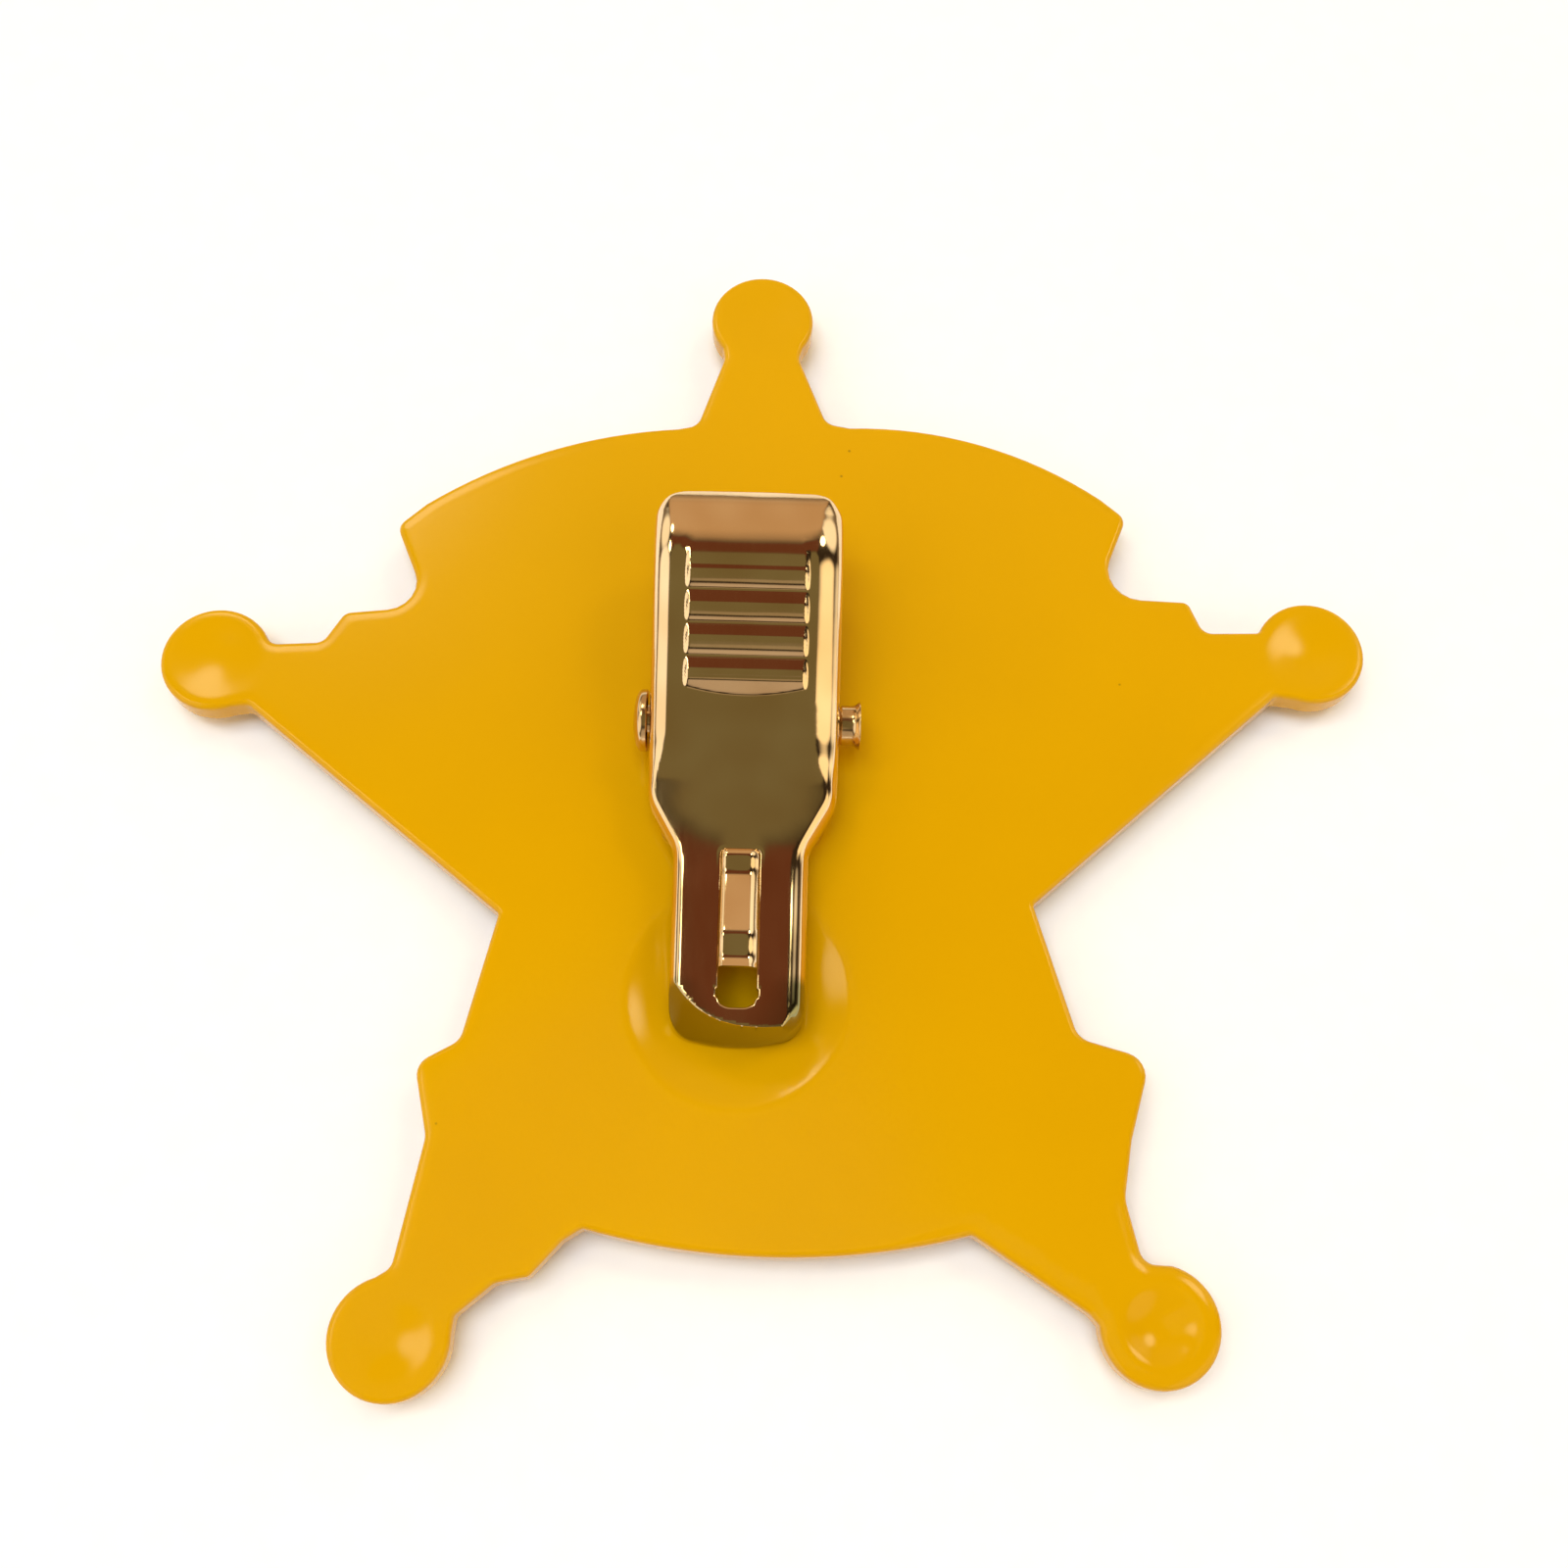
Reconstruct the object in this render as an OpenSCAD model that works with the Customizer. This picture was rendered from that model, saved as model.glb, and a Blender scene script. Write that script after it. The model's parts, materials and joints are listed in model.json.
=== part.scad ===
// Sheriff star badge with a sprung clip on its back, lying face down.
// Millimetres. The front disc and the ball domes lie on z = 0 and the back faces up.
// Seen from above, +X points to the right and +Y to the top ball.

/* [Badge] */
// Distance from the centre of the star to the middle of each ball
ball_ring_r = 34.6; // [30:0.1:40]
// Radius of the ball at each point
ball_r = 3.25; // [2.9:0.05:3.6]
// Thickness from the front disc to the back face
badge_t = 3.2; // [2.8:0.1:4.5]
// Thickness of the plate at its edge
plate_t = 1.8; // [1.4:0.1:2.2]
// Step from a ball's edge in to the dome on its front
dome_step = 0.3; // [0.1:0.05:0.45]

/* [Front] */
// Radius of the bare disc in the middle
disc_r = 10; // [8:0.25:11]
// Width of the groove that sets off the disc's rim
groove_w = 0.8; // [0.4:0.1:1.2]
// Depth of the groove
groove_d = 0.4; // [0.2:0.05:0.6]
// Width of the plain rim outside the groove
rim_w = 1.2; // [0.8:0.1:2]
// Reach of the bevelled star's points from the centre
bevel_r = 30; // [26:0.5:31]
// Distance from the centre to the bevelled star's inner corners
bevel_inner_r = 13; // [12:0.25:14]
// Width of the two bare ribbons
ribbon_w = 5; // [3.5:0.25:6]
// Height of the ribbons above the plate
ribbon_h = 0.7; // [0.4:0.05:1]

/* [Hollows in the back] */
// Radius of the sink dimple in each ball
dimple_r = 2; // [1.4:0.1:2.4]
// Depth of the dimples
dimple_d = 0.45; // [0.2:0.05:0.7]
// Radius of the shallow round dish under the clip's nose
dish_r = 6.5; // [5:0.25:8]
// Depth of the dish
dish_d = 0.4; // [0.2:0.05:0.5]

/* [Clip place] */
// Place of the pivot across the badge
pivot_x = -1.43; // [-3:0.01:3]
// Place of the pivot above the middle of the badge
pivot_y = 5.3; // [3:0.1:7]
// Height of the pivot over the back face
pivot_h = 3; // [2.8:0.1:3.2]
// Turn of the clip about the upright
clip_turn = -2; // [-6:0.5:6]

/* [Clip lever] */
// Thickness of the pressed sheet
sheet_t = 0.5; // [0.4:0.05:0.6]
// Width of the lever over its thumb part
lever_w = 10.7; // [10.2:0.1:11.2]
// Width of the nose
nose_w = 7.6; // [7:0.1:7.9]
// Reach of the thumb part behind the pivot
thumb_reach = 12.6; // [11.5:0.1:13.5]
// Reach of the nose in front of the pivot
nose_reach = 18.1; // [17:0.1:19.5]
// Height that the thumb part's slope would reach at its end without the lip
thumb_h = 10.55; // [9.8:0.05:11.2]
// Height of the top where the sheet is bent
bend_h = 5; // [4.9:0.05:5.3]
// Distance of the bend in front of the pivot
bend_reach = 2; // [1.5:0.1:2.5]
// Height of the nose's top at its end
nose_h = 3.6; // [3.2:0.1:4]
// Height of the nose's rim where it meets the dish
tip_h = 0; // [-0.1:0.05:0.3]
// Distance from the pivot to where the sides start to narrow
taper_start = 4.9; // [4.5:0.1:5.3]
// Distance from the pivot to where the sides have narrowed
taper_end = 7.6; // [7.3:0.1:8.2]
// Rounding between the top and the flanges
shoulder_r = 1.2; // [1:0.05:1.4]
// Corner radius of the thumb end
thumb_corner_r = 2.2; // [1.8:0.1:2.6]
// Corner radius of the nose end
nose_corner_r = 1.6; // [1.4:0.1:2]
// Depth of the flanges along the thumb part
flange_d = 2.4; // [1.9:0.1:2.8]
// Height of the flange rim at the narrow end of the taper
neck_rim_h = 1.9; // [1.5:0.1:2.2]
// Drop of the rolled lip at the thumb end
lip_drop = 3.25; // [2.6:0.05:3.6]
// Length of the rolled lip
lip_l = 5.7; // [5:0.1:6]
// Depth of the flange under the lip's shoulder
lip_flange_d = 0.3; // [0.2:0.05:0.6]
// Radius of the ears round the pivot
ear_r = 2; // [1.8:0.05:2.1]

/* [Lever pressings] */
// Number of raised grip ribs
rib_count = 4; // [2:1:4]
// Spacing of the ribs
rib_pitch = 1.86; // [1.7:0.01:1.9]
// Distance from the bend to the first rib
rib_start = 3.5; // [3.2:0.05:3.6]
// Length of a rib over its round ends
rib_l = 6.9; // [5:0.1:7.2]
// Radius of a rib's section
rib_r = 0.55; // [0.45:0.05:0.6]
// Height of a rib above the sheet
rib_rise = 0.35; // [0.2:0.05:0.4]
// Width of the slot in the nose
slot_w = 2.1; // [1.8:0.1:2.4]
// Distance from the pivot to the slot's near end
slot_start = 7.9; // [7.7:0.1:8.4]
// Distance from the pivot to the slot's far end
slot_end = 16.7; // [15.5:0.1:16.8]
// Gap on each side of the tongue in its slot
tongue_gap = 0.08; // [0.05:0.01:0.12]
// Reach of the tongue along the slot
tongue_l = 6.8; // [6.2:0.1:7]
// Rise of the tongue above the nose
tongue_rise = 1.1; // [0.9:0.05:1.3]

/* [Rivet] */
// Diameter of the hollow rivet's shank
rivet_d = 2; // [1.8:0.05:2.1]
// Bore of the rivet's tail
rivet_bore_d = 1.2; // [0.8:0.05:1.4]
// Diameter of the domed head
head_d = 3.4; // [3:0.1:3.6]
// Thickness of the domed head
head_t = 0.85; // [0.7:0.05:1.1]
// Length of the tail beyond the lever
tail_l = 1.25; // [1:0.05:1.6]
// Diameter of the flared end of the tail
flare_d = 2.4; // [2.3:0.05:2.6]

/* [Clip base] */
// Thickness of the base plate
base_t = 0.6; // [0.5:0.05:0.7]
// Reach of the base behind the pivot
base_back = 9; // [8.8:0.1:10]
// Reach of the base in front of the pivot
base_front = 6.6; // [6.5:0.1:7]
// Corner radius of the base plate
base_corner_r = 1.2; // [0.8:0.1:1.6]
// Radius of the base's two ears
base_ear_r = 1.6; // [1.45:0.05:1.7]
// Diameter of the plastic studs that hold the base
stud_d = 1.8; // [1.5:0.05:2]
// Diameter of the studs' melted heads
stud_head_d = 2.8; // [2.5:0.1:3]
// Height of the studs' heads
stud_head_h = 0.7; // [0.5:0.05:0.8]
// Distance of the back stud behind the pivot
stud_back = 7.2; // [7:0.1:7.4]
// Distance of the front stud in front of the pivot
stud_front = 4.8; // [4.4:0.1:5]

/* [Spring] */
// Thickness of the spring wire
wire_d = 0.6; // [0.5:0.05:0.65]
// Number of turns in the coil
coil_turns = 4; // [2:1:4]
// Spacing of the turns
coil_pitch = 0.7; // [0.68:0.02:0.8]
// Length of the spring's two legs
leg_l = 5; // [4:0.1:5.2]

/* [Clearances] */
// Radial clearance of the rivet in its holes
pivot_gap = 0.08; // [0.04:0.01:0.1]
// Clearance between the base's ears and the lever's flanges
side_gap = 0.15; // [0.1:0.01:0.2]
// Clearance under what is seated on a flat face
seat_gap = 0.05; // [0.02:0.01:0.08]

/* [Hidden] */
RIGHT = 0;
LEFT = 1;

// Heights in the badge
back_z = badge_t;
plate_z = badge_t - plate_t;
// Angles of the two right-hand balls, the others mirror them
side_ball_a = 18.4;
foot_ball_a = -54;
// Half of the arc that a ball shows past its neck
ball_arc_a = 128;
ball_steps = 12;
// Points in a bowed edge and in a corner's fillet
bow_steps = 5;
fillet_steps = 3;

// Corners of one half of the outline between two balls, right half then left half.
// Columns: x, y, fillet radius, bow of the edge to the next corner.
// All are shares of ball_ring_r.
shoulder_rows = [
    [
        [0.066, 0.918, 0.029, 0],
        [0.114, 0.779, 0.029, 0],
        [0.156, 0.770, 0, 0.041],
        [0.604, 0.621, 0, 0],
        [0.647, 0.581, 0.023, 0],
        [0.581, 0.426, 0.066, 0],
        [0.743, 0.415, 0.017, 0],
        [0.766, 0.355, 0.023, 0],
        [0.864, 0.355, 0.023, 0],
    ],
    [
        [0.071, 0.918, 0.029, 0],
        [0.121, 0.776, 0.029, 0],
        [0.156, 0.769, 0, 0.033],
        [0.604, 0.616, 0, 0],
        [0.653, 0.572, 0.023, 0],
        [0.592, 0.415, 0.061, 0],
        [0.734, 0.403, 0.023, 0],
        [0.769, 0.347, 0.023, 0],
        [0.858, 0.344, 0.023, 0],
    ],
];
flank_rows = [
    [
        [0.879, 0.234, 0.014, 0],
        [0.434, -0.137, 0.009, 0],
        [0.493, -0.361, 0.035, 0],
        [0.607, -0.397, 0.038, 0],
        [0.566, -0.526, 0.058, 0],
        [0.549, -0.616, 0.058, 0],
        [0.569, -0.715, 0.026, 0],
    ],
    [
        [0.887, 0.231, 0.017, 0],
        [0.447, -0.143, 0.009, 0],
        [0.501, -0.353, 0.032, 0],
        [0.571, -0.390, 0.032, 0],
        [0.548, -0.506, 0.043, 0],
        [0.590, -0.705, 0.026, 0],
    ],
];
foot_rows = [
    [
        [0.480, -0.789, 0.014, 0],
        [0.306, -0.668, 0.012, 0],
    ],
    [
        [0.490, -0.777, 0.014, 0],
        [0.431, -0.730, 0.023, 0],
        [0.379, -0.721, 0.014, 0],
        [0.329, -0.668, 0.017, 0],
        [0.299, -0.650, 0.012, 0],
    ],
];
// Bow of the lower edge between the feet, as a share of ball_ring_r
lower_bow = 0.039;

// Ribbons on the front. Columns: height of the arc's centre, outer radius, half angle, direction.
// The two lengths are shares of ball_ring_r.
ribbon_rows = [
    [-0.39, 1.13, 28, 90],
    [0.19, 0.84, 40, -90],
];
ribbon_steps = 12;

// Vector of unit length
function unit(a) = a / norm(a);
// Angle brought between -180 and 180 degrees
function wrap(a) = a - 360 * floor((a + 180) / 360);
// Point at radius r and angle a
function polar(r, a) = r * [cos(a), sin(a)];
// Points about c at radius r, numbers first to last of the steps that make up the turn
function arc(c, r, from, turn, steps, first, last) = [
    for (k = [first:last]) c + polar(r, from + turn * k / steps)
];

// Arc of radius r in the corner p between the neighbours a and b
function fillet(a, p, b, r) =
    let (
        ua = unit(a - p),
        ub = unit(b - p),
        half = acos(ua * ub) / 2,
        reach = min(r / tan(half), 0.49 * norm(a - p), 0.49 * norm(b - p)),
        rr = reach * tan(half),
        c = p + unit(ua + ub) * rr / sin(half),
        s = p + ua * reach - c,
        e = p + ub * reach - c,
        from = atan2(s.y, s.x),
        turn = wrap(atan2(e.y, e.x) - from)
    )
    arc(c, rr, from, turn, fillet_steps, 0, fillet_steps);

// Closed list of points from corners [x, y, fillet radius]
function rounded(rows) = [
    for (i = [0:len(rows) - 1])
        let (
            xy = function (row) [row.x, row.y],
            p = xy(rows[i]),
            a = xy(rows[(i + len(rows) - 1) % len(rows)]),
            b = xy(rows[(i + 1) % len(rows)])
        )
        each rows[i][2] > 0 ? fillet(a, p, b, rows[i][2]) : [p]
];

// Points strictly between a and b on an arc that bows to the left of the way by h
function bow(a, b, h) =
    let (
        chord = norm(b - a),
        left = [a.y - b.y, b.x - a.x] / chord,
        r = (chord * chord / 4 + h * h) / (2 * h),
        c = (a + b) / 2 - left * (r - h),
        from = atan2(a.y - c.y, a.x - c.x),
        turn = wrap(atan2(b.y - c.y, b.x - c.x) - from)
    )
    arc(c, r, from, turn, bow_steps, 1, bow_steps - 1);

// Corner rows at full size, each bowed edge with its own points
function full_rows(rows) = [
    for (i = [0:len(rows) - 1])
        let (row = rows[i] * ball_ring_r, next = rows[min(i + 1, len(rows) - 1)] * ball_ring_r)
        each concat(
            [[row.x, row.y, row[2]]],
            row[3] > 0 ? [for (q = bow([row.x, row.y], [next.x, next.y], row[3])) [q.x, q.y, 0]] : []
        )
];

// Ball at the angle a, clockwise
function ball_rows(a) = [
    for (q = arc(polar(ball_ring_r, a), ball_r, a + ball_arc_a, -2 * ball_arc_a, ball_steps, 0, ball_steps))
        [q.x, q.y, 0]
];

// One half of the outline, clockwise as on the right
function half_rows(side) = concat(
    full_rows(shoulder_rows[side]),
    ball_rows(side_ball_a),
    full_rows(flank_rows[side]),
    ball_rows(foot_ball_a),
    full_rows(foot_rows[side])
);

// Rows mirrored to the left half, still clockwise
function mirrored(rows) = [for (i = [len(rows) - 1:-1:0]) [-rows[i].x, rows[i].y, rows[i][2]]];

// Whole outline of the badge, clockwise from the top ball
function badge_outline() =
    let (
        right = half_rows(RIGHT),
        left = mirrored(half_rows(LEFT)),
        a = [right[len(right) - 1].x, right[len(right) - 1].y],
        b = [left[0].x, left[0].y]
    )
    rounded(concat(
        ball_rows(90),
        right,
        [for (q = bow(a, b, lower_bow * ball_ring_r)) [q.x, q.y, 0]],
        left
    ));

// Closed clockwise outline moved inwards by d along the mean of its edges' normals
function inset(points, d) = [
    for (i = [0:len(points) - 1])
        let (
            a = points[(i + len(points) - 1) % len(points)],
            b = points[(i + 1) % len(points)],
            along = unit(b - a)
        )
        points[i] + d * [along.y, -along.x]
];

// Faces between m rings of n points each, where every ring turns clockwise seen from the last one
function ring_walls(n, m) = [
    for (k = [0:m - 2])
        for (i = [0:n - 1])
            let (j = (i + 1) % n)
            each [
                [k * n + i, k * n + j, (k + 1) * n + j],
                [k * n + i, (k + 1) * n + j, (k + 1) * n + i],
            ]
];

// Flat plate with the whole outline
module badge_plate() {
    outline = badge_outline();
    translate([0, 0, plate_z]) linear_extrude(plate_t) polygon(outline);
}

// Places of the five balls
ball_angles = [90, side_ball_a, foot_ball_a, 180 - foot_ball_a, 180 - side_ball_a];
// Overlap that joins what is moulded in one piece
weld = 0.2;
// Height at which the bevelled star's facets would meet, just behind the disc
bevel_tip_z = 0.2;

// Cap of a sphere that stands below z = h, with its tip on z = 0
module dome(r, h) {
    sphere_r = (r * r + h * h) / (2 * h);
    intersection() {
        translate([0, 0, sphere_r]) sphere(r = sphere_r, $fn = 64);
        cylinder(r = r, h = h + weld, $fn = 64);
    }
}

// Hollow of the given mouth radius and depth, for cutting from the back face
module hollow(r, d) {
    sphere_r = (r * r + d * d) / (2 * d);
    translate([0, 0, sphere_r - d]) sphere(r = sphere_r, $fn = 96);
}

// Star of ten bevelled facets that fall from the middle to its edge
module bevelled_star() {
    rim = [for (k = [0:9]) polar(k % 2 == 0 ? bevel_r : bevel_inner_r, 90 - 36 * k)];
    points = concat(
        [[0, 0, bevel_tip_z]],
        [for (q = rim) [q.x, q.y, plate_z]],
        [for (q = rim) [q.x, q.y, plate_z + weld]]
    );
    facets = [for (k = [0:9]) [0, 1 + (k + 1) % 10, 1 + k]];
    walls = [for (k = [0:9]) each [
        [1 + k, 1 + (k + 1) % 10, 11 + (k + 1) % 10],
        [1 + k, 11 + (k + 1) % 10, 11 + k],
    ]];
    polyhedron(points = points, faces = concat(facets, walls, [[for (k = [0:9]) 11 + k]]));
}

// Flat curved band about a centre on the Y axis, from half angle -a to a round the direction dir
module ribbon(centre, outer_r, a, dir) {
    translate([0, centre, plate_z - ribbon_h])
        linear_extrude(ribbon_h + weld)
            polygon(concat(
                arc([0, 0], outer_r, dir - a, 2 * a, ribbon_steps, 0, ribbon_steps),
                arc([0, 0], outer_r - ribbon_w, dir + a, -2 * a, ribbon_steps, 0, ribbon_steps)
            ));
}

// Bare disc with a groove inside its rim
module centre_disc() {
    difference() {
        cylinder(r = disc_r, h = plate_z + weld, $fn = 96);
        rotate_extrude($fn = 96)
            translate([disc_r - rim_w - groove_w, -groove_d])
                square([groove_w, 2 * groove_d]);
    }
}

// Repeats children at the five balls
module at_balls() {
    for (a = ball_angles) translate(polar(ball_ring_r, a)) children();
}

// Moves children from the clip's own frame, with its origin on the back face under the pivot
module at_clip() {
    translate([pivot_x, pivot_y, back_z]) rotate([0, 0, clip_turn]) children();
}

// Stud with a melted head over the base plate
module stud() {
    head_z = base_top + seat_gap;
    translate([0, 0, -weld]) cylinder(d = stud_d, h = head_z + weld + stud_head_h / 2, $fn = 32);
    translate([0, 0, head_z]) cylinder(d1 = stud_head_d, d2 = stud_d, h = stud_head_h, $fn = 32);
}

module star_body() {
    color("#e6a503")
        union() {
            difference() {
                union() {
                    badge_plate();
                    at_balls() dome(ball_r - dome_step, plate_z);
                    bevelled_star();
                    for (row = ribbon_rows)
                        ribbon(row[0] * ball_ring_r, row[1] * ball_ring_r, row[2], row[3]);
                    centre_disc();
                }
                at_balls() translate([0, 0, back_z]) hollow(dimple_r, dimple_d);
                at_clip() translate([0, dish_back - nose_reach, 0]) hollow(dish_r, dish_d);
            }
            at_clip() {
                translate([0, stud_back, 0]) stud();
                translate([0, -stud_front, 0]) stud();
            }
        }
}

// Clip frame: x across, y towards the thumb end, z up from the back face
half_w = lever_w / 2;
half_nose = nose_w / 2;
base_half_w = half_w - sheet_t - side_gap;
base_top = seat_gap + base_t;
// The dish's middle lies this far behind the nose's end
dish_back = 2.9;
// Half length of the ears along the lever
ear_reach = 1.3 * ear_r;
// Slopes of the two flat parts of the top
thumb_slope = (thumb_h - bend_h) / (thumb_reach + bend_reach);
nose_slope = (bend_h - nose_h) / (nose_reach - bend_reach);
thumb_a = atan(thumb_slope);
// Rounding of the bend, as the height that it lifts the corner by
bend_round = 0.06;

// Height of the lever's top along the clip, the upper of two slopes with a soft bend and a rolled lip
function lever_z(y) =
    let (
        thumb = bend_h + (y + bend_reach) * thumb_slope,
        nose = bend_h + (y + bend_reach) * nose_slope,
        lip = max(0, (y - thumb_reach + lip_l) / lip_l)
    )
    (thumb + nose + sqrt(pow(thumb - nose, 2) + pow(2 * bend_round, 2))) / 2 - lip_drop * lip * lip;

// Height of the flanges' rim. Columns: place along the clip, height.
rim_rows = [
    [-nose_reach, tip_h],
    [-taper_end, neck_rim_h],
    [-ear_reach, 0.8 * pivot_h],
    [ear_reach, pivot_h],
    [ear_reach + 0.6 * flange_d, lever_z(ear_reach + 0.6 * flange_d) - flange_d],
    [thumb_reach - lip_l, lever_z(thumb_reach - lip_l) - flange_d],
    [thumb_reach, lever_z(thumb_reach) - shoulder_r - lip_flange_d],
];
function in_ear(y) = abs(y) < ear_reach;
function ear_z(y) = pivot_h - ear_r * sqrt(1 - pow(y / ear_reach, 2));
function rim_z(y) = in_ear(y) ? min(lookup(y, rim_rows), ear_z(y)) : lookup(y, rim_rows);

// Narrowing of half the nose towards its end, and bows of the two end lines
nose_draw = 0.08;
nose_bow = 0.5;
thumb_bow = 0.2;
// Share of the half width at which the two end lines have a corner of their own
end_mid = 0.3;
// Plan of the lever's right half from the thumb end to the nose end: [x, y, fillet radius]
lever_rows = [
    [end_mid * half_w, thumb_reach - end_mid * end_mid * thumb_bow, lever_w],
    [half_w, thumb_reach - thumb_bow, thumb_corner_r],
    [half_w, -taper_start, 0.5 * lever_w / 2],
    [half_nose, -taper_end, 0.5 * nose_w / 2],
    [half_nose - nose_draw, -nose_reach + nose_bow, nose_corner_r],
    [end_mid * half_nose, -nose_reach + end_mid * end_mid * nose_bow, nose_w],
];
// Longest step between two stations along the lever's edge
lever_step = 0.7;

// Closed line through the points with no step longer than the given one
function stepped(points, step) = [
    for (i = [0:len(points) - 1])
        let (
            a = points[i],
            b = points[(i + 1) % len(points)],
            n = ceil(norm(b - a) / step)
        )
        if (norm(b - a) > 0.001) each [for (k = [0:n - 1]) a + (b - a) * k / n]
];

// Clockwise plan of the lever from the middle of its thumb end, mirrored about the Y axis
function lever_plan() =
    let (
        corners = concat([[0, thumb_reach, 0]], lever_rows, [[0, -nose_reach, 0]]),
        whole = rounded(concat(corners, mirrored(lever_rows)))
    )
    stepped(whole, lever_step);

// Ring of the lever's skin: the plan inset by d, drop below the top surface
function skin_ring(plan, d, drop) = [for (q = inset(plan, d)) [q.x, q.y, lever_z(q.y) - drop]];

// Round shoulder from the flange to the top as rings of the given outer radius, inset by wall
function shoulder_rings(plan, r, wall) = [
    for (k = [0:shoulder_steps])
        let (a = 90 * k / shoulder_steps)
        skin_ring(plan, wall + r * (1 - cos(a)), wall + r * (1 - sin(a)))
];
shoulder_steps = 4;

// Pressed tray: outer skin, rim, inner skin, with each top surface spanned straight across
module lever_tray() {
    plan = lever_plan();
    n = len(plan);
    rims = [for (wall = [0, sheet_t]) [for (q = inset(plan, wall)) [q.x, q.y, rim_z(q.y)]]];
    outer = shoulder_rings(plan, shoulder_r, 0);
    inner = shoulder_rings(plan, shoulder_r - sheet_t, sheet_t);
    rings = concat(
        [for (i = [len(inner) - 1:-1:0]) inner[i]],
        [rims[1], rims[0]],
        outer
    );
    // The left half's station that faces station i of the right half
    function across(i) = (n - i) % n;
    last = (len(rings) - 1) * n;
    outer_top = [
        for (i = [0:floor(n / 2) - 1]) each [
            [last + i, last + i + 1, last + across(i + 1)],
            [last + i, last + across(i + 1), last + across(i)],
        ]
    ];
    inner_top = [for (f = outer_top) [f[2] - last, f[1] - last, f[0] - last]];
    tidy = function (faces) [for (f = faces) if (f[0] != f[1] && f[1] != f[2] && f[0] != f[2]) f];
    polyhedron(
        points = [for (ring = rings) each ring],
        faces = concat(tidy(inner_top), ring_walls(n, len(rings)), tidy(outer_top)),
        convexity = 10
    );
}

// Raised grip ribs on the thumb part
module ribs() {
    for (k = [0:rib_count - 1]) {
        along = rib_start + rib_pitch * k;
        translate([0, -bend_reach, bend_h])
            rotate([thumb_a, 0, 0])
                translate([0, along, rib_rise - rib_r])
                    rotate([0, 90, 0]) {
                        cylinder(r = rib_r, h = rib_l - 2 * rib_r, center = true, $fn = 24);
                        for (s = [-1, 1])
                            translate([0, 0, s * (rib_l / 2 - rib_r)]) sphere(r = rib_r, $fn = 24);
                    }
    }
}

// Open slot in the nose
module slot() {
    translate([-slot_w / 2, -slot_end, 0])
        cube([slot_w, slot_end - slot_start, 2 * bend_h]);
}

// Side view of the raised tongue as [along, rise] pairs, shares of tongue_l and tongue_rise
tongue_rows = [[-0.06, -0.06], [0.05, 0.35], [0.2, 0.25], [0.74, 1], [0.93, 0.8], [1, 0.9]];

// Thickness that the drawn-out tongue keeps, a share of the sheet's
tongue_thin = 0.75;

// Tongue lanced from the slot and bent up, joined to the sheet at the slot's near end
module tongue() {
    line = [for (row = tongue_rows) [-slot_start - row[0] * tongue_l, row[1] * tongue_rise]];
    side = [for (q = line) [q.x, lever_z(q.x) + q.y]];
    shape = concat(side, [for (i = [len(side) - 1:-1:0]) side[i] - [0, tongue_thin * sheet_t]]);
    width = slot_w - 2 * tongue_gap;
    translate([-width / 2, 0, 0])
        rotate([90, 0, 90]) linear_extrude(width) polygon(shape);
}

// Cylinder that clears the rivet, for cutting along its axis
module pivot_hole() {
    cylinder(d = rivet_d + 2 * pivot_gap, h = 2 * lever_w, center = true, $fn = 48);
}

module clip_lever() {
    color("#caa05f")
        at_clip()
            union() {
                difference() {
                    lever_tray();
                    translate([0, 0, pivot_h])
                        rotate([0, 90, 0]) pivot_hole();
                    slot();
                }
                ribs();
                tongue();
            }
}

// Plate with two ears bent up beside the lever's flanges
module clip_base() {
    color("#b8925a")
        at_clip()
            difference() {
                union() {
                    translate([0, 0, seat_gap])
                        linear_extrude(base_t) {
                            translate([-base_half_w, -base_front + base_corner_r])
                                square([2 * base_half_w, base_front + base_back - 2 * base_corner_r]);
                            translate([-base_half_w + base_corner_r, -base_front])
                                square([2 * (base_half_w - base_corner_r), base_front + base_back]);
                            for (x = [-1, 1])
                                for (y = [-base_front + base_corner_r, base_back - base_corner_r])
                                    translate([x * (base_half_w - base_corner_r), y])
                                        circle(r = base_corner_r, $fn = 32);
                        }
                    for (x = [-base_half_w, base_half_w - sheet_t])
                        translate([x, 0, 0]) {
                            translate([0, -base_ear_r, seat_gap])
                                cube([sheet_t, 2 * base_ear_r, pivot_h - seat_gap]);
                            translate([0, 0, pivot_h])
                                rotate([0, 90, 0]) cylinder(r = base_ear_r, h = sheet_t, $fn = 48);
                        }
                }
                translate([0, 0, pivot_h]) rotate([0, 90, 0]) pivot_hole();
                for (y = [-stud_front, stud_back])
                    translate([0, y, -base_t])
                        cylinder(d = stud_d + 2 * pivot_gap, h = 4 * base_t, $fn = 32);
            }
}

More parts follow.
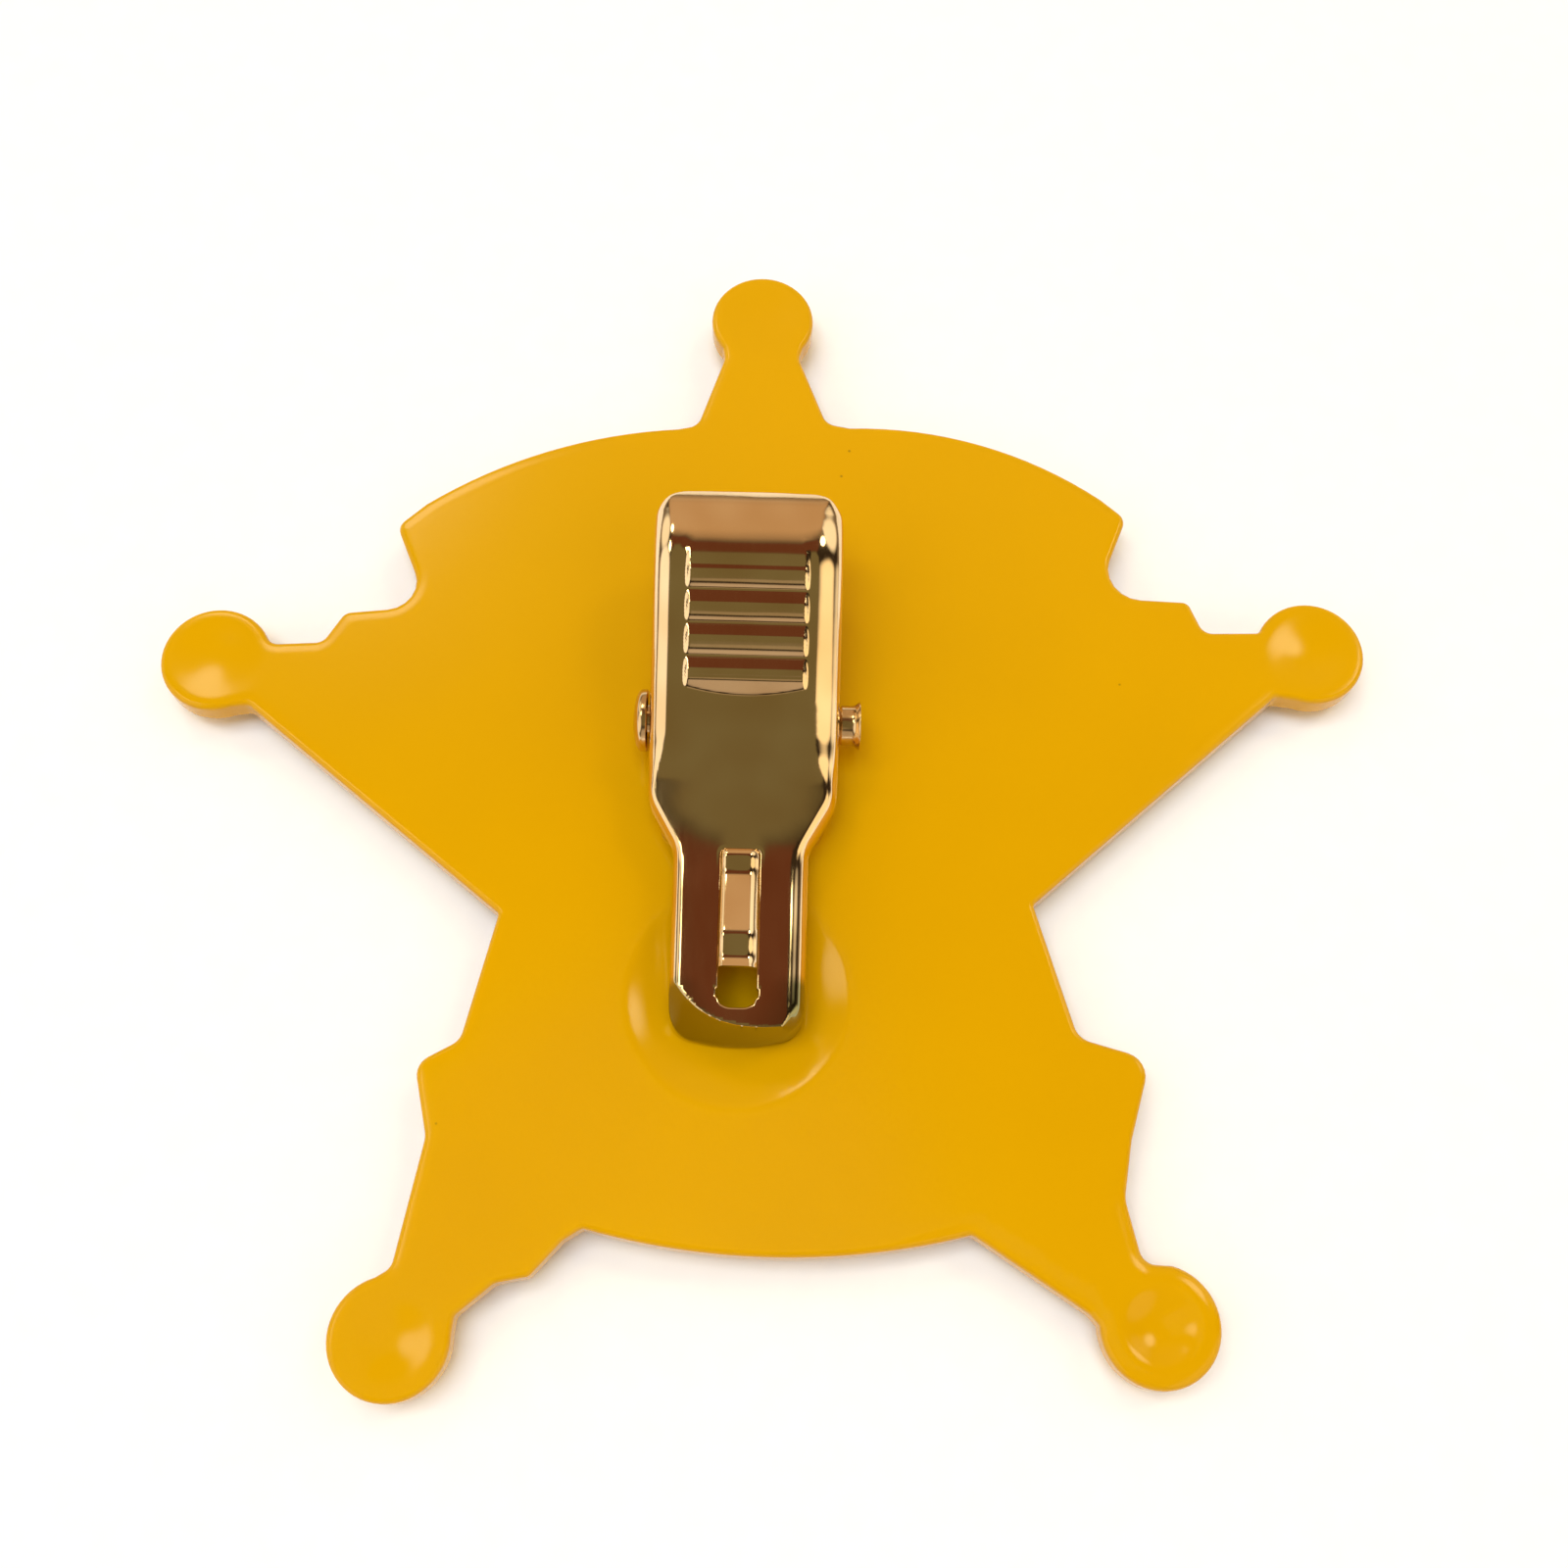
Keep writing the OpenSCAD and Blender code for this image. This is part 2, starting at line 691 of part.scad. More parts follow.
// Hollow rivet: domed head on the left, plain tube with a flared end on the right
module rivet() {
    head_x = -half_w - side_gap;
    tail_x = half_w + tail_l;
    dome_r = (head_d * head_d / 4 + head_t * head_t) / (2 * head_t);
    // The bore ends under the head
    bore_l = lever_w;
    color("#a98c63")
        at_clip()
            translate([0, 0, pivot_h])
                rotate([0, 90, 0])
                    difference() {
                        union() {
                            translate([0, 0, head_x - weld])
                                cylinder(d = rivet_d, h = tail_x - head_x + weld, $fn = 48);
                            translate([0, 0, head_x - head_t])
                                intersection() {
                                    translate([0, 0, dome_r]) sphere(r = dome_r, $fn = 64);
                                    cylinder(d = head_d, h = head_t, $fn = 64);
                                }
                            translate([0, 0, tail_x - tail_l / 3])
                                cylinder(d1 = rivet_d, d2 = flare_d, h = tail_l / 3, $fn = 48);
                        }
                        translate([0, 0, tail_x - bore_l])
                            cylinder(d = rivet_bore_d, h = 2 * bore_l, $fn = 48);
                    }
}

// Mean radius of the coil round the rivet
coil_r = rivet_d / 2 + pivot_gap + side_gap + wire_d / 2;
coil_steps = 14;
wire_sides = 8;
// Upper leg along the lever's underside, lower leg down to the base plate
upper_leg_a = thumb_a;
lower_leg_drop = pivot_h - coil_r - base_top - wire_d / 2 - seat_gap;

// Centre line of the spring from the lower leg's end through the coil to the upper leg's end
function spring_line() =
    let (
        half = coil_turns * coil_pitch / 2,
        from = -90,
        turn = 360 * coil_turns + 180 + upper_leg_a,
        total = coil_turns * coil_steps + coil_steps / 2,
        lower_end = [-half, leg_l, pivot_h - coil_r - lower_leg_drop],
        coil = [
            for (k = [0:total])
                let (q = from - turn * k / total)
                [-half + 2 * half * k / total, coil_r * cos(q), pivot_h + coil_r * sin(q)]
        ],
        top = coil[total],
        upper_end = top + leg_l * [0, cos(upper_leg_a), sin(upper_leg_a)]
    )
    concat([lower_end, (lower_end + coil[0]) / 2], coil, [(top + upper_end) / 2, upper_end]);

// Round wire carried along a line of points
module wire(line, d) {
    last = len(line) - 1;
    side = [1, 0, 0];
    rings = [
        for (i = [0:last])
            let (
                along = unit(line[min(i + 1, last)] - line[max(i - 1, 0)]),
                a = unit(side - along * (side * along)),
                b = cross(along, a)
            )
            [for (k = [0:wire_sides - 1])
                let (q = -360 * k / wire_sides)
                line[i] + d / 2 * (a * cos(q) + b * sin(q))]
    ];
    near = [for (k = [wire_sides - 1:-1:0]) k];
    far = [for (k = [0:wire_sides - 1]) last * wire_sides + k];
    polyhedron(
        points = [for (ring = rings) each ring],
        faces = concat([near], ring_walls(wire_sides, last + 1), [far]),
        convexity = 10
    );
}

module spring() {
    color("#9a8a70") at_clip() wire(spring_line(), wire_d);
}

star_body();
clip_lever();
clip_base();
rivet();
spring();
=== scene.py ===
"""Looks of a sheriff star badge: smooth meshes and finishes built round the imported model.

The badge lies face down on a pale table, so the camera sees its plain back and the sprung
clip. Lengths are millimetres until a mesh is written, where they become the frame's metres.
"""

import json
import logging
from dataclasses import dataclass, field
from enum import Enum
from typing import Any, Sequence

import bmesh
import bpy
import numpy as np
from mathutils import Matrix, Vector
from mathutils.geometry import delaunay_2d_cdt

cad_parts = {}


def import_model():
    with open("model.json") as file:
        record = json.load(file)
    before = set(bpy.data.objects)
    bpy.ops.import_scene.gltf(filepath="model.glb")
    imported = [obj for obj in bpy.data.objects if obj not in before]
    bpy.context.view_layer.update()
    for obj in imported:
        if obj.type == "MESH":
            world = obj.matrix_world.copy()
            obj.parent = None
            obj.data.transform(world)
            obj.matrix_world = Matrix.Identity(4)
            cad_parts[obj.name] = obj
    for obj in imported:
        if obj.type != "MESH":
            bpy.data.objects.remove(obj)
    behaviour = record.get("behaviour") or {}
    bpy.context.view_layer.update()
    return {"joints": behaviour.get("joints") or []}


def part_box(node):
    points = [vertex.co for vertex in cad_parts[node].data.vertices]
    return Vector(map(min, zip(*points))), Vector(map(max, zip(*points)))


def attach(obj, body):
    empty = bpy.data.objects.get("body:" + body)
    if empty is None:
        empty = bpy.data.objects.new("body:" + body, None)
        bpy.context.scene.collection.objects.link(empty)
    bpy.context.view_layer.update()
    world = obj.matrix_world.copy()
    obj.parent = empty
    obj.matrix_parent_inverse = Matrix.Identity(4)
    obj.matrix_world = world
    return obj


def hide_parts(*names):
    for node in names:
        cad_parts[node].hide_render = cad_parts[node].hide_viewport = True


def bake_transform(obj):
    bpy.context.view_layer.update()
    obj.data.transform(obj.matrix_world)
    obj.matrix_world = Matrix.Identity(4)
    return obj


LOG = logging.getLogger("badge")
MM = 0.001
WELD_M = 2e-7
BLOCK = 2000  # points measured at once, to keep the tables of distances small
Array = np.ndarray
Shell = tuple[Array, list[tuple[int, ...]]]


# Lines in the plane


def unit(a: Array) -> Array:
    """Vectors scaled to unit length along the last axis."""
    return a / np.linalg.norm(a, axis=-1, keepdims=True)


def polar(radius: Array | float, angle_deg: Array | float) -> Array:
    """Points at a radius and an angle in degrees, as [..., 2]."""
    a = np.radians(angle_deg)
    return np.stack(np.broadcast_arrays(radius * np.cos(a), radius * np.sin(a)), -1)


def smooth(t: Array | float) -> Array:
    """Step with level ends: 3t^2 - 2t^3, with t kept between 0 and 1."""
    t = np.clip(t, 0, 1)
    return t * t * (3 - 2 * t)


def ramp(at: Array, start: float, end: float) -> Array:
    """0 before the start and 1 past the end, either way round, with a smooth step between."""
    return smooth((at - start) / (end - start))


def soft_min(a: Array, b: Array | float, reach: float) -> Array:
    """Lower of two heights: half of (sum - root(difference^2 + reach^2))."""
    return (a + b - np.hypot(a - b, reach)) / 2


def soft_max(a: Array, b: Array | float, reach: float) -> Array:
    """Higher of two heights, rounded where they cross."""
    return -soft_min(-a, -b, reach)


def edge_fall(d: Array, radius: float) -> Array:
    """Drop of a rounded edge at a distance d from it: r - root(r^2 - (r - d)^2)."""
    away = np.clip(radius - d, 0, radius)
    return radius - np.sqrt(radius**2 - away**2)


def arc_rows(radius: float, angles: Sequence[float]) -> list[float]:
    """Distances from an edge of rows that follow its rounding: r (1 - cos a)."""
    return [radius * (1 - np.cos(np.radians(a))) for a in angles]


def rounded(rows: Array, steps: int) -> Array:
    """Closed line through corners, each with a tangent arc.

    In a corner of half angle h, an arc of radius r starts r / tan(h) before the corner
    and its centre lies r / sin(h) away on the bisector.

    Args:
        rows: Corners as [x, y, radius]; a radius of 0 keeps the corner sharp.
        steps: Segments in each arc.

    Returns:
        The points as [n, 2].
    """
    p, radius = rows[:, :2], rows[:, 2]
    to_a, to_b = np.roll(p, 1, 0) - p, np.roll(p, -1, 0) - p
    len_a, len_b = np.linalg.norm(to_a, axis=1), np.linalg.norm(to_b, axis=1)
    ua, ub = unit(to_a), unit(to_b)
    half = np.arccos(np.clip((ua * ub).sum(1), -1, 1)) / 2
    with np.errstate(all="ignore"):
        reach = np.minimum.reduce([radius / np.tan(half), 0.49 * len_a, 0.49 * len_b])
        real = reach * np.tan(half)
        centre = p + unit(ua + ub) * (real / np.sin(half))[:, None]
        start, end = p + ua * reach[:, None] - centre, p + ub * reach[:, None] - centre
        first = np.arctan2(start[:, 1], start[:, 0])
        turn = (np.arctan2(end[:, 1], end[:, 0]) - first + np.pi) % (2 * np.pi) - np.pi
        angle = first[:, None] + turn[:, None] * np.linspace(0, 1, steps + 1)
        arc = centre[:, None] + real[:, None, None] * np.stack([np.cos(angle), np.sin(angle)], -1)
    points = np.where(radius[:, None, None] > 0, arc, p[:, None]).reshape(-1, 2)
    return points[np.linalg.norm(points - np.roll(points, 1, 0), axis=1) > 1e-3]


def stepped(line: Array, step: float) -> Array:
    """Closed line with every edge split evenly, so that no step is longer than the given one."""
    edge = np.roll(line, -1, 0) - line
    count = np.maximum(np.ceil(np.linalg.norm(edge, axis=1) / step), 1).astype(int)
    which = np.repeat(np.arange(len(line)), count)
    place = np.arange(count.sum()) - np.repeat(np.cumsum(count) - count, count)
    return line[which] + (place / count[which])[:, None] * edge[which]


def bow(a: Array, b: Array, height: float, steps: int) -> Array:
    """Points strictly between a and b on an arc that bows to the left of the way by a height.

    The arc's radius is (chord^2 / 4 + height^2) / (2 height).

    Args:
        a: First end.
        b: Last end.
        height: Rise of the arc over its chord.
        steps: Segments in the arc.

    Returns:
        The points as [steps - 1, 2].
    """
    chord = np.linalg.norm(b - a)
    left = np.array([a[1] - b[1], b[0] - a[0]]) / chord
    radius = (chord**2 / 4 + height**2) / (2 * height)
    centre = (a + b) / 2 - left * (radius - height)
    first, last = np.arctan2(*(a - centre)[::-1]), np.arctan2(*(b - centre)[::-1])
    turn = (last - first + np.pi) % (2 * np.pi) - np.pi
    return centre + polar(radius, np.degrees(first + turn * np.arange(1, steps) / steps))


def normals(line: Array) -> Array:
    """Unit normals to the right of the way along a closed line."""
    along = unit(np.roll(line, -1, 0) - np.roll(line, 1, 0))
    return np.stack([along[:, 1], -along[:, 0]], 1)


def circle(centre: Sequence[float], radius: float, step: float) -> Array:
    """Circle as a closed line, counterclockwise, with points about a step apart."""
    count = max(24, int(2 * np.pi * radius / step))
    return np.asarray(centre) + polar(radius, np.arange(count) * 360 / count)


def distance(points: Array, line: Array) -> Array:
    """Distance from each point to a closed line, the least over the line's edges."""
    edge = np.roll(line, -1, 0) - line
    length2 = (edge**2).sum(1)
    found = []
    for block in np.array_split(points, len(points) // BLOCK + 1):
        to = block[:, None] - line
        t = np.clip((to * edge).sum(-1) / length2, 0, 1)
        found.append(np.sqrt(((to - t[..., None] * edge) ** 2).sum(-1).min(1)))
    return np.concatenate(found)


def inside(points: Array, line: Array) -> Array:
    """Whether each point is inside a closed line: a ray to +X crosses it an odd number of times."""
    a, b = line, np.roll(line, -1, 0)
    with np.errstate(all="ignore"):
        slope = (b[:, 0] - a[:, 0]) / (b[:, 1] - a[:, 1])
    found = []
    for block in np.array_split(points, len(points) // BLOCK + 1):
        x, y = block[:, :1], block[:, 1:]
        crosses = (a[:, 1] > y) != (b[:, 1] > y)
        with np.errstate(all="ignore"):
            right = x < a[:, 0] + (y - a[:, 1]) * slope
        found.append((crosses & right).sum(1) % 2 == 1)
    return np.concatenate(found)


def hex_grid(box: Sequence[float], step: float) -> Array:
    """Points on a triangular lattice inside a box [x0, y0, x1, y1]."""
    x0, y0, x1, y1 = box
    row = step * np.sqrt(3) / 2
    y, x = np.mgrid[0 : int((y1 - y0) / row) + 1, 0 : int((x1 - x0) / step) + 1].astype(float)
    return np.stack([x0 + (x + 0.5 * (y % 2)) * step, y0 + y * row], -1).reshape(-1, 2)


# Surfaces


@dataclass(frozen=True)
class Zone:
    """Box of a cap that takes a finer grid.

    Args:
        box: [x0, y0, x1, y1].
        step: Grid spacing in it.
    """

    box: tuple[float, float, float, float]
    step: float

    def holds(self, points: Array, margin: float) -> Array:
        """Whether each point lies in the box, grown by a margin."""
        x0, y0, x1, y1 = self.box
        x, y = points[:, 0], points[:, 1]
        return (x > x0 - margin) & (x < x1 + margin) & (y > y0 - margin) & (y < y1 + margin)


@dataclass
class Cap:
    """Flat region inside an outline, meshed once and then raised to its heights.

    Args:
        outline: Clockwise closed line.
        step: Grid spacing.
        rings: Distances from every edge at which a row of points follows it.
        holes: Counterclockwise closed lines.
        creases: Other closed lines that the triangles keep to.
        zones: Boxes with a finer grid.
        rows: Rows of points that are kept as they are.
    """

    outline: Array
    step: float
    rings: Sequence[float] = ()
    holes: Sequence[Array] = ()
    creases: Sequence[Array] = ()
    zones: Sequence[Zone] = ()
    rows: Sequence[Array] = ()

    def ringed(self) -> list[Array]:
        """Loops that the rings follow."""
        return [self.outline, *self.holes]

    def clear(self, points: Array) -> Array:
        """Whether each lattice point is clear of the rows."""
        return np.ones(len(points), bool)

    def covers(self, points: Array) -> Array:
        """Whether each point is inside the outline and outside the holes."""
        found = inside(points, self.outline)
        for hole in self.holes:
            found &= ~inside(points, hole)
        return found

    def edge_distance(self, points: Array) -> Array:
        """Distance from each point to the nearest ringed edge."""
        return np.minimum.reduce([distance(points, loop) for loop in self.ringed()])

    def grid(self) -> tuple[Array, Array]:
        """Lattice points of the plain field and the zones, with the edge room that each needs."""
        low, high = self.outline.min(0), self.outline.max(0)
        plain = hex_grid((*low, *high), self.step)
        for zone in self.zones:
            plain = plain[~zone.holds(plain, 0.3 * self.step)]
        sets = [(plain, self.step)]
        for i, zone in enumerate(self.zones):
            points = hex_grid(zone.box, zone.step)
            for other in self.zones[:i]:
                points = points[~other.holds(points, 0.5 * other.step)]
            sets.append((points, zone.step))
        last = max(self.rings, default=0.0)
        room = [np.full(len(points), last + 0.5 * step) for points, step in sets]
        return np.concatenate([points for points, _ in sets]), np.concatenate(room)

    def mesh(self) -> tuple[Array, Array]:
        """Triangulates the region.

        Rows of points run beside each edge, a lattice fills the rest, and a constrained
        Delaunay triangulation joins them.

        Returns:
            Points as [n, 2] and counterclockwise triangles as [m, 3].
        """
        beside = [(loop + d * normals(loop), d) for loop in self.ringed() for d in self.rings]
        grid, grid_room = self.grid()
        clear = self.clear(grid)
        free = np.concatenate([*(row for row, _ in beside), grid[clear]])
        room = [np.full(len(row), 0.97 * d) for row, d in beside]
        room = np.concatenate([*room, grid_room[clear]])
        kept = self.covers(free)
        free, room = free[kept], room[kept]
        free = free[self.edge_distance(free) >= room]
        for crease in self.creases:
            free = free[distance(free, crease) > 0.3 * self.step]
        closed = [self.outline, *self.holes, *self.creases]
        starts = np.cumsum([0] + [len(loop) for loop in closed]).tolist()
        edges = [
            (start + i, start + (i + 1) % len(loop))
            for start, loop in zip(starts, closed)
            for i in range(len(loop))
        ]
        points = np.concatenate([*closed, *self.rows, free])
        made = delaunay_2d_cdt([Vector(p) for p in points.tolist()], edges, [], 0, 1e-7, False)
        points = np.array([v[:] for v in made[0]])
        triangles = np.array(made[2])
        return points, triangles[self.covers(points[triangles].mean(1))]


def risen(line: Array, z: Array) -> Array:
    """Points over a plane line at heights [..., column], as [..., column, 3]."""
    return np.stack(np.broadcast_arrays(line[:, 0], line[:, 1], z), -1)


def raised(points: Array, triangles: Array, z: Array, up: bool = True) -> Shell:
    """A cap's mesh lifted to its heights, facing up or down."""
    faces = triangles if up else triangles[:, ::-1]
    return risen(points, z), [tuple(f) for f in faces.tolist()]


def band(rows: Array) -> Shell:
    """Quads between neighbouring closed rows of points, given as [row, column, 3]."""
    r, c = rows.shape[:2]
    index = np.arange(r * c).reshape(r, c)
    index = np.column_stack([index, index[:, 0]])
    quads = np.stack([index[:-1, :-1], index[:-1, 1:], index[1:, 1:], index[1:, :-1]], -1)
    return rows.reshape(-1, 3), [tuple(q) for q in quads.reshape(-1, 4).tolist()]


def lathe(profile: Array, steps: int) -> Shell:
    """Profile [x along the axis, radius] turned about the X axis."""
    a = np.arange(steps) * 2 * np.pi / steps
    x, r = profile[:, :1], profile[:, 1:]
    return band(np.stack(np.broadcast_arrays(x, r * np.cos(a), r * np.sin(a)), -1))


def tube(line: Array, radius: Array, steps: int) -> Shell:
    """Round section carried along a line, with its frame kept square to the X axis.

    Args:
        line: Points as [n, 3].
        radius: Section radius at each point; 0 closes an end.
        steps: Points round the section.

    Returns:
        The vertices and faces.
    """
    along = unit(np.gradient(line, axis=0))
    side = np.array([1.0, 0.0, 0.0])
    a = unit(side - along * (along @ side)[:, None])
    b = np.cross(along, a)
    angle = np.arange(steps) * 2 * np.pi / steps
    ring = a[:, None] * np.cos(angle)[:, None] + b[:, None] * np.sin(angle)[:, None]
    return band(line[:, None] + radius[:, None, None] * ring)


def bent(points: Sequence[Sequence[float]], count: int) -> Array:
    """Smooth curve through points: cubic pieces with the mean slope of the two neighbours."""
    p = np.asarray(points, float)
    slope = np.gradient(p, axis=0)
    t = np.linspace(0, len(p) - 1, count)
    i = np.minimum(t.astype(int), len(p) - 2)
    u = (t - i)[:, None]
    h1, h2 = (1 + 2 * u) * (1 - u) ** 2, u * (1 - u) ** 2
    h3, h4 = u * u * (3 - 2 * u), u * u * (u - 1)
    return h1 * p[i] + h2 * slope[i] + h3 * p[i + 1] + h4 * slope[i + 1]


def make_piece(
    name: str, shells: Sequence[Shell], place: Matrix, material: bpy.types.Material, crease: float
) -> bpy.types.Object:
    """Writes shells as one mesh object, welded and facing outwards, at the origin.

    Args:
        name: Name of the piece.
        shells: Vertices in millimetres and faces.
        place: Turn and shift from the shells' frame to the row frame, in millimetres.
        material: The piece's material.
        crease: Angle in degrees above which an edge stays sharp.

    Returns:
        The new object.
    """
    turn, shift = np.array(place.to_3x3()), np.array(place.translation)
    counts = np.cumsum([0] + [len(vertices) for vertices, _ in shells])
    vertices = np.concatenate([v for v, _ in shells]) @ turn.T + shift
    faces = [tuple(i + s for i in f) for s, (_, fs) in zip(counts.tolist(), shells) for f in fs]
    mesh = bpy.data.meshes.new(name)
    mesh.from_pydata((vertices * MM).tolist(), [], faces)
    work = bmesh.new()
    work.from_mesh(mesh)
    bmesh.ops.remove_doubles(work, verts=work.verts, dist=WELD_M)
    bmesh.ops.recalc_face_normals(work, faces=work.faces)
    work.to_mesh(mesh)
    work.free()
    mesh.shade_smooth()
    mesh.set_sharp_from_angle(angle=float(np.radians(crease)))
    mesh.materials.append(material)
    piece = bpy.data.objects.new(name, mesh)
    bpy.context.scene.collection.objects.link(piece)
    LOG.info("%s: %d vertices, %d faces", name, len(mesh.vertices), len(mesh.polygons))
    return piece


# Finishes


def linear(colour: str) -> tuple[float, float, float, float]:
    """An sRGB hex colour as linear RGBA."""
    c = np.array([int(colour[i : i + 2], 16) / 255 for i in (1, 3, 5)])
    c = np.where(c <= 0.04045, c / 12.92, ((c + 0.055) / 1.055) ** 2.4)
    return (*c.tolist(), 1.0)


def add_node(
    tree: bpy.types.NodeTree,
    kind: str,
    inputs: dict[str | int, Any] | None = None,
    out: str | int = 0,
    **settings: Any,
) -> bpy.types.NodeSocket | None:
    """Adds a node, sets its properties and fills its inputs.

    Args:
        tree: The node tree.
        kind: Node type's identifier after "ShaderNode".
        inputs: Value or output socket for each input, by its name or number.
        out: Name or number of the output that is wanted.
        **settings: Properties of the node.

    Returns:
        The output socket, or None where the node has none.
    """
    node = tree.nodes.new("ShaderNode" + kind)
    for key, value in settings.items():
        setattr(node, key, value)
    for key, value in (inputs or {}).items():
        if isinstance(value, bpy.types.NodeSocket):
            tree.links.new(value, node.inputs[key])
        else:
            node.inputs[key].default_value = value
    return node.outputs[out] if len(node.outputs) else None


def new_material(
    name: str,
) -> tuple[bpy.types.Material, bpy.types.NodeTree, bpy.types.NodeSocket]:
    """A material with an empty tree, and the Object coordinates in it."""
    material = bpy.data.materials.new(name)
    material.use_nodes = True
    tree = material.node_tree
    tree.nodes.clear()
    return material, tree, add_node(tree, "TexCoord", out="Object")


def per_metre(size_mm: float) -> float:
    """Texture scale that gives a pattern of a real size."""
    return 1 / (size_mm * MM)


@dataclass(frozen=True)
class MouldedPlastic:
    """Polystyrene, injection moulded and glossy: a deep dyed yellow with a soft gloss.

    Args:
        base: Main colour.
        deep: Colour of the faint flow patches.
        speck: Colour of dust in the moulding.
        flow_mm: Size of the flow patches.
        peel_mm: Size of the fine waviness that a mould's polish leaves.
        peel_depth_mm: Depth of that waviness.
        dust_mm: Distance between specks; real dust is finer and is drawn just large enough to show.
        dust_share: Share of that distance within which a speck is full, and at which it ends.
        gloss: Roughness of the surface.
        ior: Refractive index of polystyrene.
        sheen: Specular level, low because the dye dulls the surface.
    """

    base: str = "#d29c00"
    deep: str = "#c99400"
    speck: str = "#7d5a10"
    flow_mm: float = 14.0
    peel_mm: float = 1.6
    peel_depth_mm: float = 0.004
    dust_mm: float = 5.0
    dust_share: tuple[float, float] = (0.010, 0.022)
    gloss: float = 0.12
    ior: float = 1.59
    sheen: float = 0.18

    def material(self) -> bpy.types.Material:
        """Builds the node tree."""
        material, tree, place = new_material("moulded_polystyrene")
        size = per_metre(self.flow_mm)
        flow = add_node(tree, "TexNoise", {"Vector": place, "Scale": size, "Detail": 2.0})
        dyes = {"Factor": flow, 6: linear(self.base), 7: linear(self.deep)}
        colour = add_node(tree, "Mix", dyes, 2, data_type="RGBA")
        size = per_metre(self.dust_mm)
        cells = add_node(tree, "TexVoronoi", {"Vector": place, "Scale": size}, "Distance")
        near, far = self.dust_share
        spread = {"Value": cells, "From Min": near, "From Max": far, "To Min": 0.7, "To Max": 0.0}
        dusts = {"Factor": add_node(tree, "MapRange", spread), 6: colour, 7: linear(self.speck)}
        size = per_metre(self.peel_mm)
        peel = add_node(tree, "TexNoise", {"Vector": place, "Scale": size, "Detail": 3.0})
        waves = {"Height": peel, "Strength": 1.0, "Distance": self.peel_depth_mm * MM}
        rough = {"Value": flow, "To Min": self.gloss - 0.03, "To Max": self.gloss + 0.04}
        surface = {
            "Base Color": add_node(tree, "Mix", dusts, 2, data_type="RGBA"),
            "Roughness": add_node(tree, "MapRange", rough),
            "Normal": add_node(tree, "Bump", waves),
            "IOR": self.ior,
            "Specular IOR Level": self.sheen,
        }
        shader = add_node(tree, "BsdfPrincipled", surface)
        add_node(tree, "OutputMaterial", {"Surface": shader})
        return material


@dataclass(frozen=True)
class PlatedSteel:
    """Cold rolled steel, stamped and barrel plated in pale gold: bright, a little wavy.

    Args:
        name: Name of the material.
        base: Colour of the plating.
        worn: Colour where the plating is thin.
        gloss: Roughness of the plating.
        wave_mm: Size of the dents that stamping leaves in the sheet.
        wave_depth_mm: Depth of those dents.
        grain_mm: Width of the rolling marks along the strip.
        grain_depth_mm: Depth of those marks.
        painted_shade: Darker colour at the nose's end, a painted shade for the shaded star that the
            end face reflects.
        painted_shade_y_mm: Place in the row frame beyond which the painted shade lies, or None.
        painted_shade_z_mm: Height below which it lies.
    """

    name: str = "gold_plated_steel"
    base: str = "#f7e3c0"
    worn: str = "#ddbb8a"
    gloss: float = 0.08
    wave_mm: float = 3.2
    wave_depth_mm: float = 0.026
    grain_mm: float = 0.22
    grain_depth_mm: float = 0.0006
    painted_shade: str = "#959066"
    painted_shade_y_mm: float | None = None
    painted_shade_z_mm: float = 6.6

    def paint_nose_shade(self, tree: bpy.types.NodeTree, place: Any, colour: Any) -> bpy.types.NodeSocket:
        """Colour with painted shade below a height at the nose's end, standing in for the shaded
        star that the end face reflects.

        Args:
            tree: The node tree.
            place: Socket of the Object coordinates.
            colour: Socket of the plating's colour.

        Returns:
            The socket of the new colour.
        """
        shares = []
        for axis, limit, fade in (("Z", self.painted_shade_z_mm, 0.1), ("Y", self.painted_shade_y_mm, 0.3)):
            at = add_node(tree, "SeparateXYZ", {0: place}, axis)
            ends = {"From Min": (limit + fade) * MM, "From Max": (limit - fade) * MM}
            shares.append(add_node(tree, "MapRange", {"Value": at, **ends}))
        both = add_node(tree, "Math", dict(enumerate(shares)), operation="MULTIPLY")
        painted_shadings = {"Factor": both, 6: colour, 7: linear(self.painted_shade)}
        return add_node(tree, "Mix", painted_shadings, 2, data_type="RGBA")

    def material(self) -> bpy.types.Material:
        """Builds the node tree."""
        material, tree, place = new_material(self.name)
        size = per_metre(self.wave_mm)
        wave = add_node(tree, "TexNoise", {"Vector": place, "Scale": size, "Detail": 1.0})
        along = add_node(tree, "Mapping", {"Vector": place, "Scale": (1.0, 0.12, 1.0)})
        size = per_metre(self.grain_mm)
        grain = add_node(tree, "TexNoise", {"Vector": along, "Scale": size, "Detail": 4.0})
        platings = {"Factor": wave, 6: linear(self.base), 7: linear(self.worn)}
        colour = add_node(tree, "Mix", platings, 2, data_type="RGBA")
        # Painted shade: a darker colour at the nose's end stands in for the shaded star that the
        # end face reflects.
        if self.painted_shade_y_mm is not None:
            colour = self.paint_nose_shade(tree, place, colour)
        rough = {"Value": grain, "To Min": self.gloss - 0.03, "To Max": self.gloss + 0.05}
        dents = {"Height": wave, "Strength": 1.0, "Distance": self.wave_depth_mm * MM}
        marks = {"Height": grain, "Strength": 1.0, "Distance": self.grain_depth_mm * MM}
        marks["Normal"] = add_node(tree, "Bump", dents)
        surface = {
            "Base Color": colour,
            "Metallic": 1.0,
            "Roughness": add_node(tree, "MapRange", rough),
            "Normal": add_node(tree, "Bump", marks),
        }
        shader = add_node(tree, "BsdfPrincipled", surface)
        add_node(tree, "OutputMaterial", {"Surface": shader})
        return material


